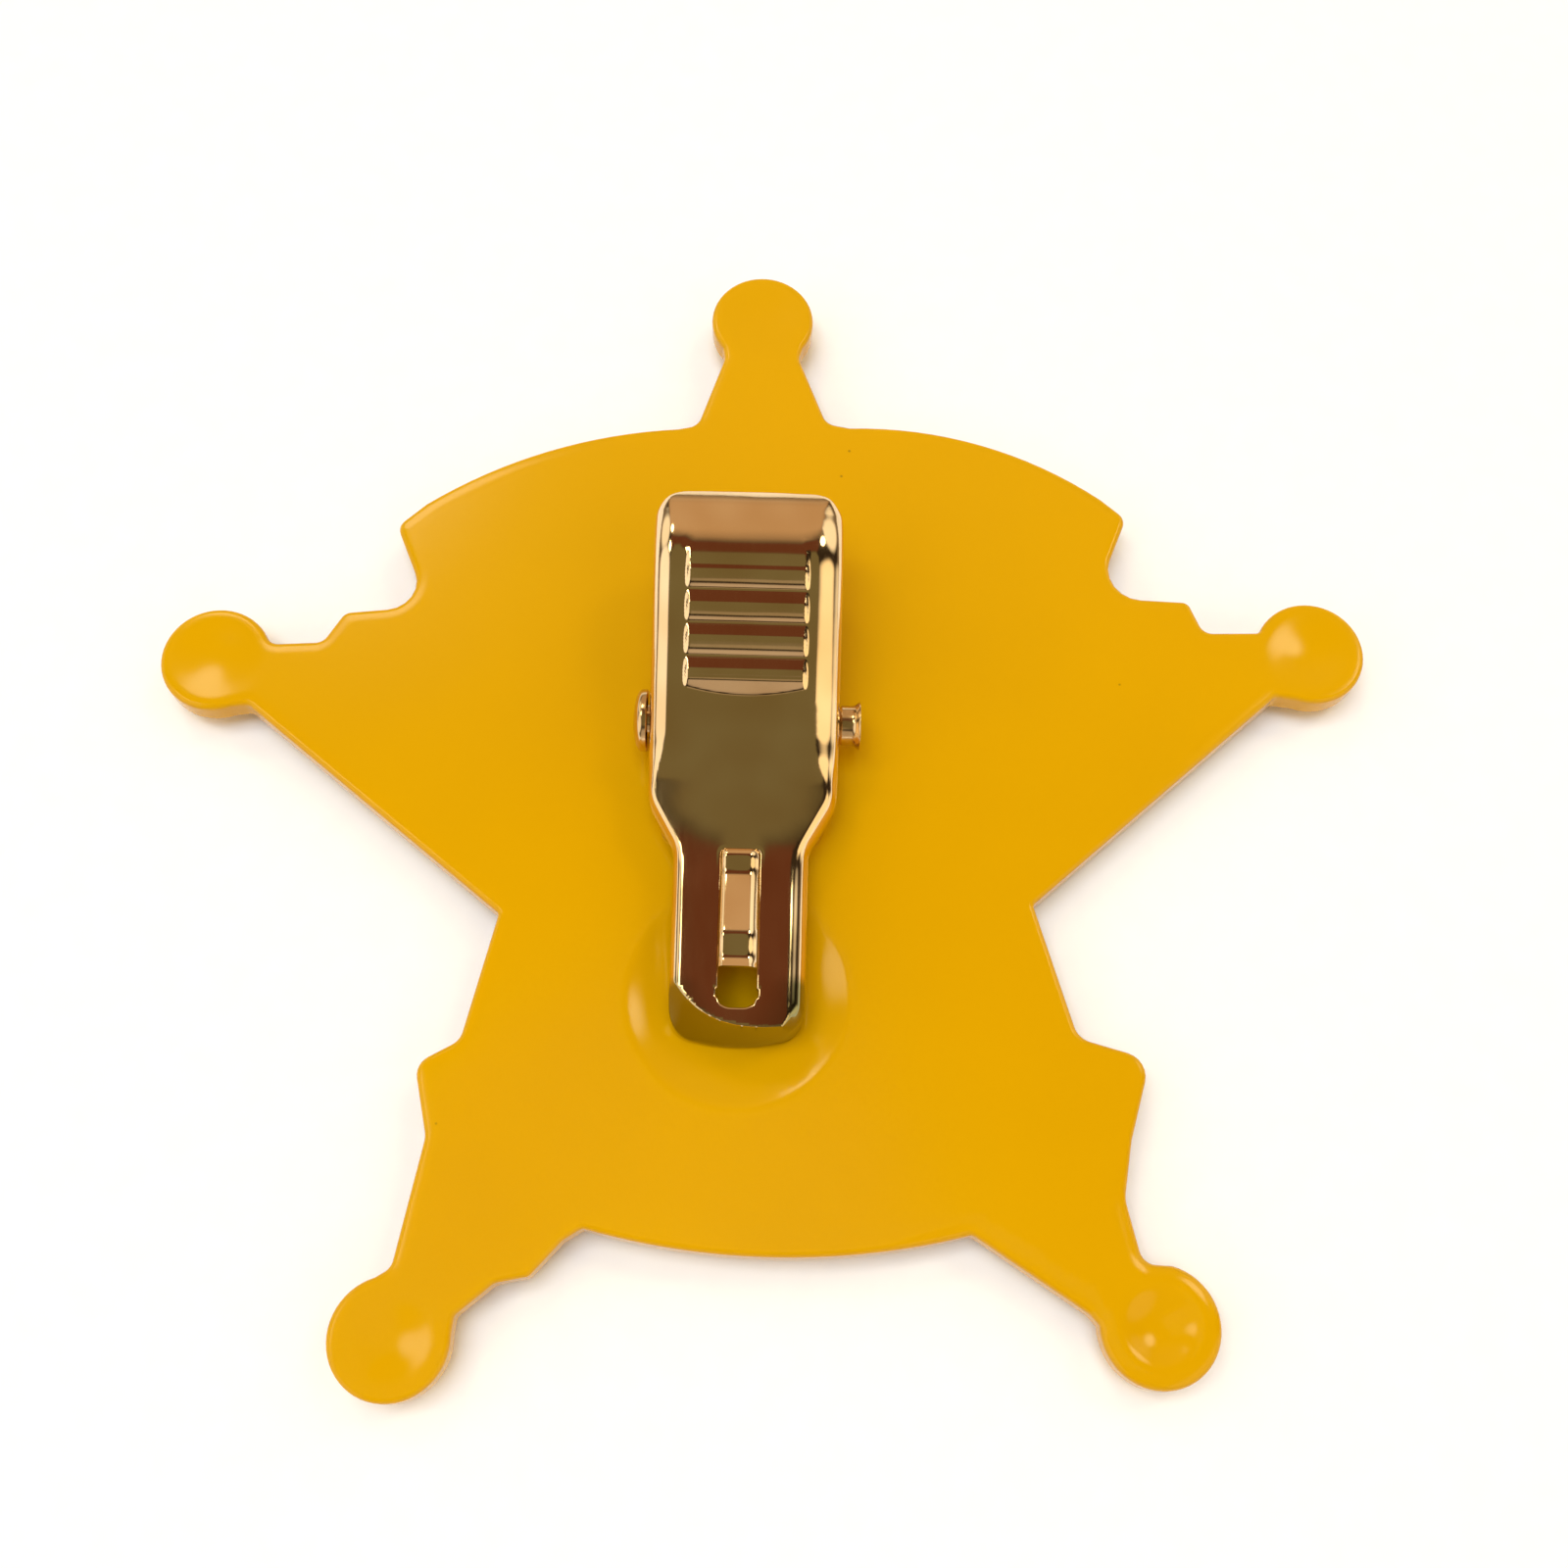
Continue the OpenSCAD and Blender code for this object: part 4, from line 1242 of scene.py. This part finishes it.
    def ribs(self, points: Array) -> Array:
        """Rise of the grip ribs.

        Each rib has a long back towards the thumb end, a level top and a steep flank
        towards the pivot, given as [place, rise] and rounded at both ends. The first rib
        has a long flank with a bowed foot, and the last one a long back.
        """
        x, half = points[:, 0], self.rib_l / 2
        slope = (self.thumb_h - self.bend_h) / (self.thumb_reach + self.bend_reach)
        first = (points[:, 1] + self.bend_reach) * np.hypot(1, slope) - self.rib_start
        at, height = self.rib_side.T
        k = np.clip(np.floor((first - at[0]) / self.rib_pitch), 0, self.rib_count - 1)
        place = first - k * self.rib_pitch
        rise = np.interp(place, at, height)
        back = np.clip(1 - (place - self.back_from) / self.back_l, 0, 1) ** self.back_power
        last = (k == self.rib_count - 1) & (place > self.back_from)
        rise = np.where(last, self.back_rise * back, rise)
        width = self.smile_w * (1 - 0.5 * (x / half) ** 2)
        below = np.clip(-first, 0, None)
        foot = self.flank_rise - self.smile_a * width
        foot *= np.exp(-np.clip(below - width, 0, None) / self.foot_l)
        flank = soft_max(self.flank_rise - self.smile_a * below, foot, 0.02)
        rise = np.where(first < 0, flank, rise)
        return rise * smooth((half - np.abs(x)) / self.rib_end + 0.1)

    def end_y(self, x: Array) -> Array:
        """Place of the nose's end line."""
        return -self.nose_reach + self.nose_bow * (2 * x / self.nose_w) ** 2

    def run(self, x: Array) -> Array:
        """Run of the end face for each millimetre of its height, longest on the left."""
        least, more, fade = self.end_run
        return least + more * np.exp(-(x + self.nose_w / 2 - 0.5) / fade)

    def end_line(self, x: Array) -> Array:
        """Place where the end face meets the top, by a few rounds of substitution."""
        y = self.end_y(x)
        for _ in range(4):
            high = self.top_z(y) - self.nose_crown * x**2
            y = self.end_y(x) + (high - self.tip_h - self.end_tip) * self.run(x)
        return y

    def skin(self, d: Array, points: Array, inset: float) -> Array:
        """Height of the outer or the inner skin.

        The top less its shoulder, cut off at the nose by a steep slope that rises from the
        tip, with a soft bend between.

        Args:
            d: Distance of each point from the outer edge.
            points: Places as [n, 2].
            inset: 0 for the outer skin, the sheet's thickness for the inner one.

        Returns:
            The heights.
        """
        x, y = points[:, 0], points[:, 1]
        past = -self.bend_reach - y
        crown = self.nose_crown * x**2 * ramp(past, 0.0, 2.0)
        at, width = self.crease_at
        crown -= self.crease_h * np.exp(-(((past - at) / width) ** 2)) * ramp(x, -0.8, 0.7)
        drop = self.shoulder(self.hand(d, points, inset), inset)
        side = self.top_z(y) + self.ribs(points) - crown - self.creased(drop, points, inset)
        slope = 1 / self.run(x)
        end = self.tip_h + self.end_tip + (y - self.end_y(x)) * slope - inset * np.hypot(1, slope)
        end = np.maximum(end, self.tip_h + self.end_least)
        return np.where(y < -self.taper_end, soft_min(side, end, self.end_round), side)

    def slot(self) -> Array:
        """Counterclockwise slot with a small lobe on each side before its bowed far end."""
        half, far = self.slot_w / 2, -self.slot_end
        lobe = np.array(SLOT_END) + (-half, far, 0)
        left = np.array([(-half, -self.slot_start, 0.2), *lobe, (-0.5 * half, far, 0.8)])
        rows = np.roll(np.concatenate([left, left[::-1] * (-1, 1, 1)]), 1, 0)
        return stepped(rounded(rows, 5), 0.12)

    def wall(self, high: Array, deep: Array, line: Array, inner: Array) -> Shell:
        """Flanges: down the outside, round the rim and up the inside.

        Args:
            high: Heights of the outer skin's edge.
            deep: Heights of the inner skin's edge.
            line: Outer plan.
            inner: Inner plan, point for point.

        Returns:
            The vertices and faces.
        """
        rim = np.minimum(self.rim_z(line[:, 1]), high - self.rim_gap)
        t, r = self.sheet_t, self.rim_r
        arc = [(r * (1 - np.cos(a)), r * (1 - np.sin(a))) for a in np.radians([30, 60, 90])]
        arc += [(t - across, up) for across, up in arc[::-1]]
        way = (inner - line) / t
        rows = [risen(line, high + (rim + r - high) * s) for s in np.linspace(0, 1, 6)]
        rows += [risen(line + way * across, rim + up) for across, up in arc]
        rows += [risen(inner, rim + r + (deep - rim - r) * s) for s in np.linspace(0, 1, 5)]
        return band(np.stack(rows))

    def tongue(self) -> Shell:
        """Raised tongue: its side view carried across, crowned and with drawn-down edges."""
        side = bent(TONGUE_SIDE, 110)
        u = np.sin(np.linspace(-1, 1, 25) * np.pi / 2)
        x, y = np.broadcast_arrays(
            u * (self.slot_w / 2 - self.tongue_gap), -self.slot_start - side[:, :1]
        )
        fall = self.tongue_crown * u**2
        for way, start, depth, power in TONGUE_FALLS:
            fall = fall + depth * np.clip((way * u - start) / (1 - start), 0, 1) ** power
        level = self.top_z(y) + side[:, 1:]
        low = np.minimum(level - self.tongue_t, level - fall - self.tongue_edge)
        upper, under = (np.stack([x, y, z], -1) for z in (level - fall, low))
        ring = np.concatenate([upper, under[:, ::-1]], 1)
        middle = ring.mean(1, keepdims=True)
        ends = [middle[:1] + 0 * ring[:1], ring, middle[-1:] + 0 * ring[-1:]]
        return band(np.concatenate(ends))

    def close_rows(self, hole: Array) -> list[Array]:
        """Rows of points beside the slot and along the nose's end line."""
        beside = (*arc_rows(self.punch_r, (30, 60, 90)), 0.3)
        x = np.arange(-3.5, 3.3, 0.07)
        end = [np.column_stack([x, self.end_line(x) + shift]) for shift in (-0.07, 0.0, 0.07)]
        return [*(hole + d * normals(hole) for d in beside), *end]

    def build(self, place: Matrix) -> bpy.types.Object:
        """Meshes the lever in the clip's frame and dresses it.

        Args:
            place: The clip's turn and shift in the row frame, in millimetres.

        Returns:
            The piece.
        """
        outer, inner, hole = self.plan(0), self.plan(self.sheet_t), self.slot()
        rings = arc_rows(self.shoulder_r, (8, 15, 22, 29, 36, 43, 50, 57, 64, 72, 81, 90))
        ribs = Zone((-4.0, 0.2, 4.0, self.thumb_reach - self.lip_l + 0.6), 0.11)
        zones = [ribs, Zone((-3.6, -18.2, 3.6, -16.4), 0.1)]
        rows = self.close_rows(hole)
        skins: list[Shell] = []
        edges: list[Array] = []
        hole_rows: list[Array] = []
        for line, inset, up in ((outer, 0.0, True), (inner, self.sheet_t, False)):
            usable = [d - inset for d in rings if d - inset > 0.04]
            cap = SkinCap(line, self.grid_step, usable, [hole], zones=zones, rows=rows)
            points, triangles = cap.mesh()
            drawn = self.punch_r if up else 0.0
            z = self.skin(distance(points, line) + inset, points, inset)
            z -= edge_fall(distance(points, hole), drawn)
            skins.append(raised(points, triangles, z, up))
            edges.append(self.skin(np.full(len(line), inset), line, inset))
            z = self.skin(distance(hole, line) + inset, hole, inset) - drawn
            hole_rows.append(risen(hole, z))
        parts = [*skins, self.wall(*edges, outer, inner), band(np.stack(hole_rows)), self.tongue()]
        return make_piece("clip_lever_plate", parts, place, self.finish.material(), 50)


@dataclass
class ClipBase:
    """Plate under the lever with two ears that carry the rivet, held by two melted studs.

    Args:
        half_w: Half of the plate's width.
        base_t: Thickness of the plate.
        seat: Height of its underside.
        back: Distance from the pivot to its end under the thumb part.
        front: Distance to its other end.
        corner_r: Corner radius, seen from above.
        ear_r: Radius of the ears.
        sheet_t: Thickness of the ears.
        pivot_h: Height of the pivot.
        stud_at: Place of each stud along the clip.
        stud_hole_r: Radius of the stud holes.
        edge_r: Rounding of the sheared edges.
        finish: Finish of the metal.
    """

    half_w: float = 4.7
    base_t: float = 0.6
    seat: float = 0.05
    back: float = 9.0
    front: float = 6.6
    corner_r: float = 1.2
    ear_r: float = 1.6
    sheet_t: float = 0.5
    pivot_h: float = 3.0
    stud_at: tuple[float, float] = (7.2, -4.8)
    stud_hole_r: float = 0.98
    edge_r: float = 0.08
    finish: PlatedSteel = field(default_factory=lambda: PlatedSteel(name="gold_plated_base"))

    def plate(self) -> list[Shell]:
        """Flat plate with round corners and two stud holes."""
        at = ((1, self.back), (1, -self.front), (-1, -self.front), (-1, self.back))
        rows = np.array([(side * self.half_w, y, self.corner_r) for side, y in at])
        line = stepped(rounded(rows, 8), 0.4)
        holes = [circle((0, y), self.stud_hole_r, 0.2) for y in self.stud_at]
        cap = Cap(line, 0.9, (0.03, self.edge_r), holes)
        points, triangles = cap.mesh()
        fall = edge_fall(cap.edge_distance(points), self.edge_r)
        top, low = self.seat + self.base_t, self.seat
        rims = np.array([[top - self.edge_r], [low + self.edge_r]])
        return [
            raised(points, triangles, top - fall),
            raised(points, triangles, low + fall, up=False),
            *(band(risen(loop, rims)) for loop in (line, *holes)),
        ]

    def ear(self, x: float) -> Shell:
        """Ear: a half round over a straight foot, carried across its thickness."""
        a = np.radians(np.linspace(0, 180, 25))
        foot = self.seat + 0.2 - self.pivot_h
        y = np.concatenate([[self.ear_r], self.ear_r * np.cos(a), [-self.ear_r]])
        z = np.concatenate([[foot], self.ear_r * np.sin(a), [foot]])
        e, t = self.edge_r, self.sheet_t
        rows = [np.tile([x, 0.0, self.pivot_h - 0.4], (len(y), 1))]
        for across, inset in ((0, 0.7), (0, e), (e, 0), (t - e, 0), (t, e), (t, 0.7)):
            share = 1 - inset / self.ear_r
            at = np.full(len(y), x + across)
            rows.append(np.column_stack([at, y * share, self.pivot_h + z * share]))
        return band(np.stack([*rows, rows[0] + (t, 0, 0)]))

    def build(self, place: Matrix) -> bpy.types.Object:
        """Meshes and dresses the base."""
        ears = [self.ear(x) for x in (-self.half_w, self.half_w - self.sheet_t)]
        shells = [*self.plate(), *ears]
        return make_piece("clip_base_plate", shells, place, self.finish.material(), 40)


@dataclass
class MeltedStud:
    """Plastic stud whose head was melted over the base plate.

    Args:
        stud_r: Radius of the stud.
        head_r: Radius of the head.
        head_z: Height of the head's underside.
        head_h: Height of the head.
        rim_h: Height of the head's rim under its dome.
    """

    stud_r: float = 0.9
    head_r: float = 1.4
    head_z: float = 0.7
    head_h: float = 0.7
    rim_h: float = 0.12

    def shell(self, x: float, y: float, floor_z: float) -> Shell:
        """The stud turned about its upright axis, from inside the star to its domed head.

        Args:
            x: Place of the axis in the row frame.
            y: The same, upwards in the photo.
            floor_z: Height of the star's back.

        Returns:
            The vertices and faces.
        """
        dome = np.radians(np.linspace(0, 90, 9))[1:]
        rim_z = self.head_z + self.rim_h
        z = [-0.3, 0.0, self.head_z, self.head_z, rim_z]
        r = [0.0, self.stud_r, self.stud_r, self.head_r - 0.15, self.head_r]
        z = np.concatenate([z, rim_z + (self.head_h - self.rim_h) * np.sin(dome)])
        r = np.concatenate([r, self.head_r * np.cos(dome) ** 0.7])
        vertices, faces = lathe(np.column_stack([z, r]), 32)
        return vertices[:, [1, 2, 0]] + (x, y, floor_z), faces


@dataclass
class HollowRivet:
    """Hollow rivet through the ears: domed head on the left, flared open tail on the right.

    Args:
        rivet_r: Radius of the shank.
        bore_r: Radius of the bore.
        bore_l: Depth of the bore.
        head_r: Radius of the head.
        head_t: Thickness of the head.
        head_x: Place of the head's underside across the clip.
        tail_x: Place of the tail's end.
        flare_r: Radius of the tail's flare.
        pivot_h: Height of the pivot.
        finish: Finish of the metal.
    """

    rivet_r: float = 1.0
    bore_r: float = 0.6
    bore_l: float = 9.0
    head_r: float = 1.8
    head_t: float = 0.85
    head_x: float = -5.5
    tail_x: float = 6.6
    flare_r: float = 1.38
    pivot_h: float = 3.0
    finish: PlatedSteel = field(
        default_factory=lambda: PlatedSteel(
            "gold_plated_rivet", "#e6cfa8", "#c9ab7d", gloss=0.16, wave_mm=0.9, wave_depth_mm=0.01
        )
    )

    def profile(self) -> Array:
        """Side view [x, radius] from the head's middle to the bottom of the bore."""
        dome = np.radians(np.linspace(0, 90, 14))
        head_x, tail_x, shank, flare = self.head_x, self.tail_x, self.rivet_r, self.flare_r
        top = head_x - 0.25 - (self.head_t - 0.25) * np.cos(dome) ** 0.8
        rim = [(head_x - 0.08, self.head_r), (head_x, self.head_r - 0.1), (head_x, shank)]
        collar = [(1.2, shank), (1.05, shank + 0.15), (0.5, shank + 0.15)]
        trumpet = bent(
            [
                (0.3, shank + 0.19), (0.1, flare - 0.03), (0.02, flare), (0.0, flare - 0.06),
                (0.03, flare - 0.22), (0.2, shank - 0.12), (0.5, self.bore_r + 0.1),
            ],
            26,
        )
        bore = [(0.9, self.bore_r), (self.bore_l, self.bore_r), (self.bore_l, 0.0)]
        tail = np.concatenate([collar, trumpet, bore]) * (-1, 1) + (tail_x, 0)
        return np.concatenate([np.column_stack([top, self.head_r * np.sin(dome)]), rim, tail])

    def build(self, place: Matrix) -> bpy.types.Object:
        """Meshes and dresses the rivet."""
        place = place @ Matrix.Translation((0, 0, self.pivot_h))
        shells = [lathe(self.profile(), 64)]
        return make_piece("clip_rivet_pin", shells, place, self.finish.material(), 40)


@dataclass
class CoilSpring:
    """Coil spring round the rivet, with one leg on the base and one under the lever.

    Args:
        wire_r: Radius of the wire.
        turns: Whole turns of the coil.
        pitch: Distance between two turns.
        leg_l: Length of a leg.
        pivot_h: Height of the pivot.
        coil_r: Radius of the coil's middle line.
        upper_a: Angle of the upper leg in degrees.
        floor_z: Height of the base plate's top over its seat.
        seat: Height of the base plate's underside.
        cap_l: Length of the closed end of the wire.
        finish: Finish of the wire.
    """

    wire_r: float = 0.3
    turns: int = 4
    pitch: float = 0.7
    leg_l: float = 5.0
    pivot_h: float = 3.0
    coil_r: float = 1.53
    upper_a: float = 20.8
    floor_z: float = 0.65
    seat: float = 0.05
    cap_l: float = 0.02
    finish: PlatedSteel = field(
        default_factory=lambda: PlatedSteel(
            "drawn_spring_wire", "#c9c2b4", "#a39a8a", gloss=0.22, wave_mm=0.8, wave_depth_mm=0.004
        )
    )

    def line(self) -> Array:
        """Middle line: the lower leg, the helix, then the upper leg."""
        half = self.turns * self.pitch / 2
        t = np.linspace(0, 1, 32 * self.turns)
        turned = polar(self.coil_r, -90 - (360 * self.turns + 180 + self.upper_a) * t)
        coil = np.column_stack([-half + 2 * half * t, turned + (0, self.pivot_h)])
        low = np.array([-half, self.leg_l, self.floor_z + self.wire_r + self.seat])
        high = coil[-1] + (0, *polar(self.leg_l, self.upper_a))
        share = np.linspace(0, 1, 12)[:, None]
        lower = low + (coil[0] - low) * share[:-1]
        return np.concatenate([lower, coil, coil[-1] + (high - coil[-1]) * share[1:]])

    def build(self, place: Matrix) -> bpy.types.Object:
        """Meshes and dresses the spring, with both ends of the wire closed."""
        line = self.line()
        line = np.concatenate([line[:1], line, line[-1:]])
        line[0] += unit(line[1] - line[2]) * self.cap_l
        line[-1] += unit(line[-2] - line[-3]) * self.cap_l
        radius = np.full(len(line), self.wire_r)
        radius[[0, -1]] = 0.0
        shells = [tube(line, radius, 16)]
        return make_piece("clip_coil_spring", shells, place, self.finish.material(), 50)


# The studio


@dataclass(frozen=True)
class Glow:
    """Soft patch of light in the world.

    Args:
        towards: Direction of its middle.
        full_deg: Half angle that it fills wholly.
        fade_deg: Half angle at which it has faded out.
        colour: sRGB colour.
        strength: Brightness.
    """

    towards: tuple[float, float, float]
    full_deg: float
    fade_deg: float
    colour: str
    strength: float

    def light(self, tree: bpy.types.NodeTree, way: bpy.types.NodeSocket) -> bpy.types.NodeSocket:
        """The patch's light in every direction, as an output socket."""
        middle = tuple(unit(np.array(self.towards)))
        dot = {0: way, 1: middle}
        reach = {
            "Value": add_node(tree, "VectorMath", dot, "Value", operation="DOT_PRODUCT"),
            "From Min": float(np.cos(np.radians(self.fade_deg))),
            "From Max": float(np.cos(np.radians(self.full_deg))),
        }
        share = add_node(tree, "MapRange", reach, interpolation_type="SMOOTHSTEP")
        full = tuple(np.array(linear(self.colour)[:3]) * self.strength)
        return add_node(tree, "VectorMath", {0: full, "Scale": share}, operation="SCALE")


@dataclass
class Studio:
    """Table, soft light all round and the camera at the photograph's angle.

    Args:
        camera_at: Place of the camera.
        camera_back: Direction from the scene towards it.
        camera_roll: Turn about that direction in degrees.
        lens: Focal length for a sensor 36 mm wide.
        room: Colour of the dim room.
        wall: Colour of its walls near the horizon.
        wall_top: Sine of the height at which the walls end.
        backdrop: Colour that the camera sees beyond the table.
        glows: Soft patches of light that the metal and the plastic reflect.
        lamp_at: Place of the lamp.
        lamp_size: Side of the lamp.
        lamp_power: Power in watts.
        lamp_colour: Colour of its light.
        floor_size: Side of the table.
        paper: Finish of the table.
    """

    camera_at: tuple[float, float, float] = (-2.02, -33.75, 102.03)
    camera_back: tuple[float, float, float] = (-0.0273, -0.3457, 0.9379)
    camera_roll: float = -0.99
    lens: float = 41.454
    room: str = "#35291c"
    wall: str = "#84725d"
    wall_top: float = 0.22
    backdrop: str = "#f6f3ec"
    glows: tuple[Glow, ...] = (
        Glow((0.682, -0.533, 0.5), 26, 34, "#ffe6b8", 1.4),
        Glow((0.97, -0.24, 0.05), 10, 22, "#ffefcf", 1.2),
        Glow((-0.81, -0.30, 0.5), 25, 36, "#fff0da", 1.3),
        Glow((0.72, 0.5, 0.48), 15, 24, "#fff0d4", 1.3),
        Glow((-0.72, 0.5, 0.48), 14, 26, "#fff0d4", 1.2),
        Glow((-0.422, 0.117, 0.898), 5, 9, "#fff3c8", 6.0),
        Glow((0.471, 0.306, 0.826), 4, 8, "#fff3c8", 9.0),
        Glow((-0.235, 0.535, 0.811), 4, 7, "#fff3c8", 9.0),
        Glow((0.0, 0.81, 0.588), 20, 38, "#cba57b", 1.0),
        Glow((0.0, -0.966, 0.259), 19, 27, "#c2ad95", 1.0),
        Glow((0.0, -0.60, 0.80), 3, 8, "#9c8b6c", 1.0),
        Glow((0.0, -0.342, 0.94), 20, 27, "#6f6541", 1.0),
        Glow((0.0, 0.035, 1.0), 3, 8, "#6f6541", 1.0),
        Glow((0.0, 0.242, 0.970), 10, 16, "#5f2c17", 1.0),
        Glow((-0.19, 0.22, 0.957), 8, 14, "#5a2814", 1.0),
        Glow((0.14, 0.22, 0.965), 8, 13, "#5f2c17", 1.0),
    )
    lamp_at: tuple[float, float, float] = (-70.0, -30.0, 700.0)
    lamp_size: float = 360.0
    lamp_power: float = 3.4
    lamp_colour: str = "#dae9ff"
    floor_size: float = 1600.0
    paper: TablePaper = field(default_factory=TablePaper)

    def camera(self) -> None:
        """Makes the camera from its place, its backward direction and its roll."""
        back = unit(np.array(self.camera_back))
        right = unit(np.cross((0, 1, 0), back))
        up = np.cross(back, right)
        a = np.radians(self.camera_roll)
        right, up = np.cos(a) * right + np.sin(a) * up, np.cos(a) * up - np.sin(a) * right
        data = bpy.data.cameras.new("photo_camera")
        data.lens, data.sensor_width = self.lens, 36.0
        data.clip_start, data.clip_end = 0.001, 100.0
        camera = bpy.data.objects.new("photo_camera", data)
        turn = Matrix(np.column_stack([right, up, back]).tolist()).to_4x4()
        camera.matrix_world = Matrix.Translation(np.array(self.camera_at) * MM) @ turn
        bpy.context.scene.collection.objects.link(camera)
        bpy.context.scene.camera = camera

    def world(self) -> None:
        """Lights the world: a dim brown room with soft bright patches, added by direction."""
        world = bpy.data.worlds.new("studio")
        bpy.context.scene.world = world
        world.use_nodes = True
        tree = world.node_tree
        tree.nodes.clear()
        way = add_node(tree, "TexCoord", out="Generated")
        total, *others = (glow.light(tree, way) for glow in self.glows)
        for light in others:
            total = add_node(tree, "VectorMath", {0: total, 1: light}, operation="MAXIMUM")
        height = add_node(tree, "SeparateXYZ", {0: way}, "Z")
        level = add_node(tree, "Math", {0: height}, operation="ABSOLUTE")
        ends = {"Value": level, "From Min": self.wall_top, "From Max": self.wall_top / 2}
        low = add_node(tree, "MapRange", ends, interpolation_type="SMOOTHSTEP")
        rooms = {"Factor": low, 6: linear(self.room), 7: linear(self.wall)}
        around = add_node(tree, "Mix", rooms, 2, data_type="RGBA")
        total = add_node(tree, "VectorMath", {0: total, 1: around}, operation="ADD")
        seen = add_node(tree, "LightPath", out="Is Camera Ray")
        sights = {"Factor": seen, 6: total, 7: linear(self.backdrop)}
        shown = add_node(tree, "Mix", sights, 2, data_type="RGBA")
        background = add_node(tree, "Background", {"Color": shown, "Strength": 1.0})
        add_node(tree, "OutputWorld", {"Surface": background})

    def lamp(self) -> None:
        """Hangs a broad soft lamp that lights matt surfaces and doesn't show in the metal."""
        data = bpy.data.lights.new("soft_lamp", "AREA")
        data.size = self.lamp_size * MM
        data.energy = self.lamp_power
        data.color = linear(self.lamp_colour)[:3]
        lamp = bpy.data.objects.new("soft_lamp", data)
        at = Vector(self.lamp_at) * MM
        lamp.matrix_world = Matrix.Translation(at) @ at.to_track_quat("Z", "Y").to_matrix().to_4x4()
        lamp.visible_glossy = False
        bpy.context.scene.collection.objects.link(lamp)

    def table(self) -> None:
        """Lays the paper just under the badge."""
        half = self.floor_size / 2 * MM
        mesh = bpy.data.meshes.new("table_top")
        square = [(x * half, y * half, 0.0) for x, y in ((-1, -1), (1, -1), (1, 1), (-1, 1))]
        mesh.from_pydata(square, [], [(0, 1, 2, 3)])
        mesh.materials.append(self.paper.material())
        table = bpy.data.objects.new("table_top", mesh)
        bpy.context.scene.collection.objects.link(table)

    def build(self) -> None:
        """Makes the camera, the light and the table, and shows colours without a film curve."""
        self.camera()
        self.world()
        self.lamp()
        self.table()
        view = bpy.context.scene.view_settings
        view.view_transform = "Standard"
        view.look = "None"


def main() -> None:
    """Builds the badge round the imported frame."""
    logging.basicConfig(level=logging.INFO, format="%(name)s: %(message)s")
    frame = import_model()
    Studio().build()

    joint = frame["joints"][0]
    pivot = np.array(joint["pos_m"]) / MM
    axis = np.array(joint["axis"])
    turn = float(np.arctan2(-axis[1], -axis[0]))
    lever, base, stud, spring = ClipLever(), ClipBase(), MeltedStud(), CoilSpring()
    back_z = float(pivot[2]) - lever.pivot_h
    place = Matrix.Translation((pivot[0], pivot[1], back_z)) @ Matrix.Rotation(turn, 4, "Z")

    _, star_high = (np.array(c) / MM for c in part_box("star_body"))
    dish = np.array((place @ Vector((0, lever.jaw - lever.nose_reach, 0)))[:2])
    star = StarBody(ring_r=float(star_high[1]) - StarBody.ball_r, back_z=back_z, dish=dish)
    feet = [place @ Vector((0, y, 0)) for y in base.stud_at]
    star_piece = star.build([stud.shell(foot.x, foot.y, back_z) for foot in feet])
    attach(star_piece, "badge")
    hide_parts("star_body")

    for piece, body, node, slot in (
        (lever.build(place), "lever", "clip_lever", "clip_plating"),
        (base.build(place), "badge", "clip_base", "clip_plating"),
        (HollowRivet().build(place), "badge", "rivet", "rivet_plating"),
    ):
        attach(piece, body)
        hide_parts(node)

    coil = spring.build(place)
    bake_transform(coil)
    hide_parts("spring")


if __name__ == "__main__":
    main()
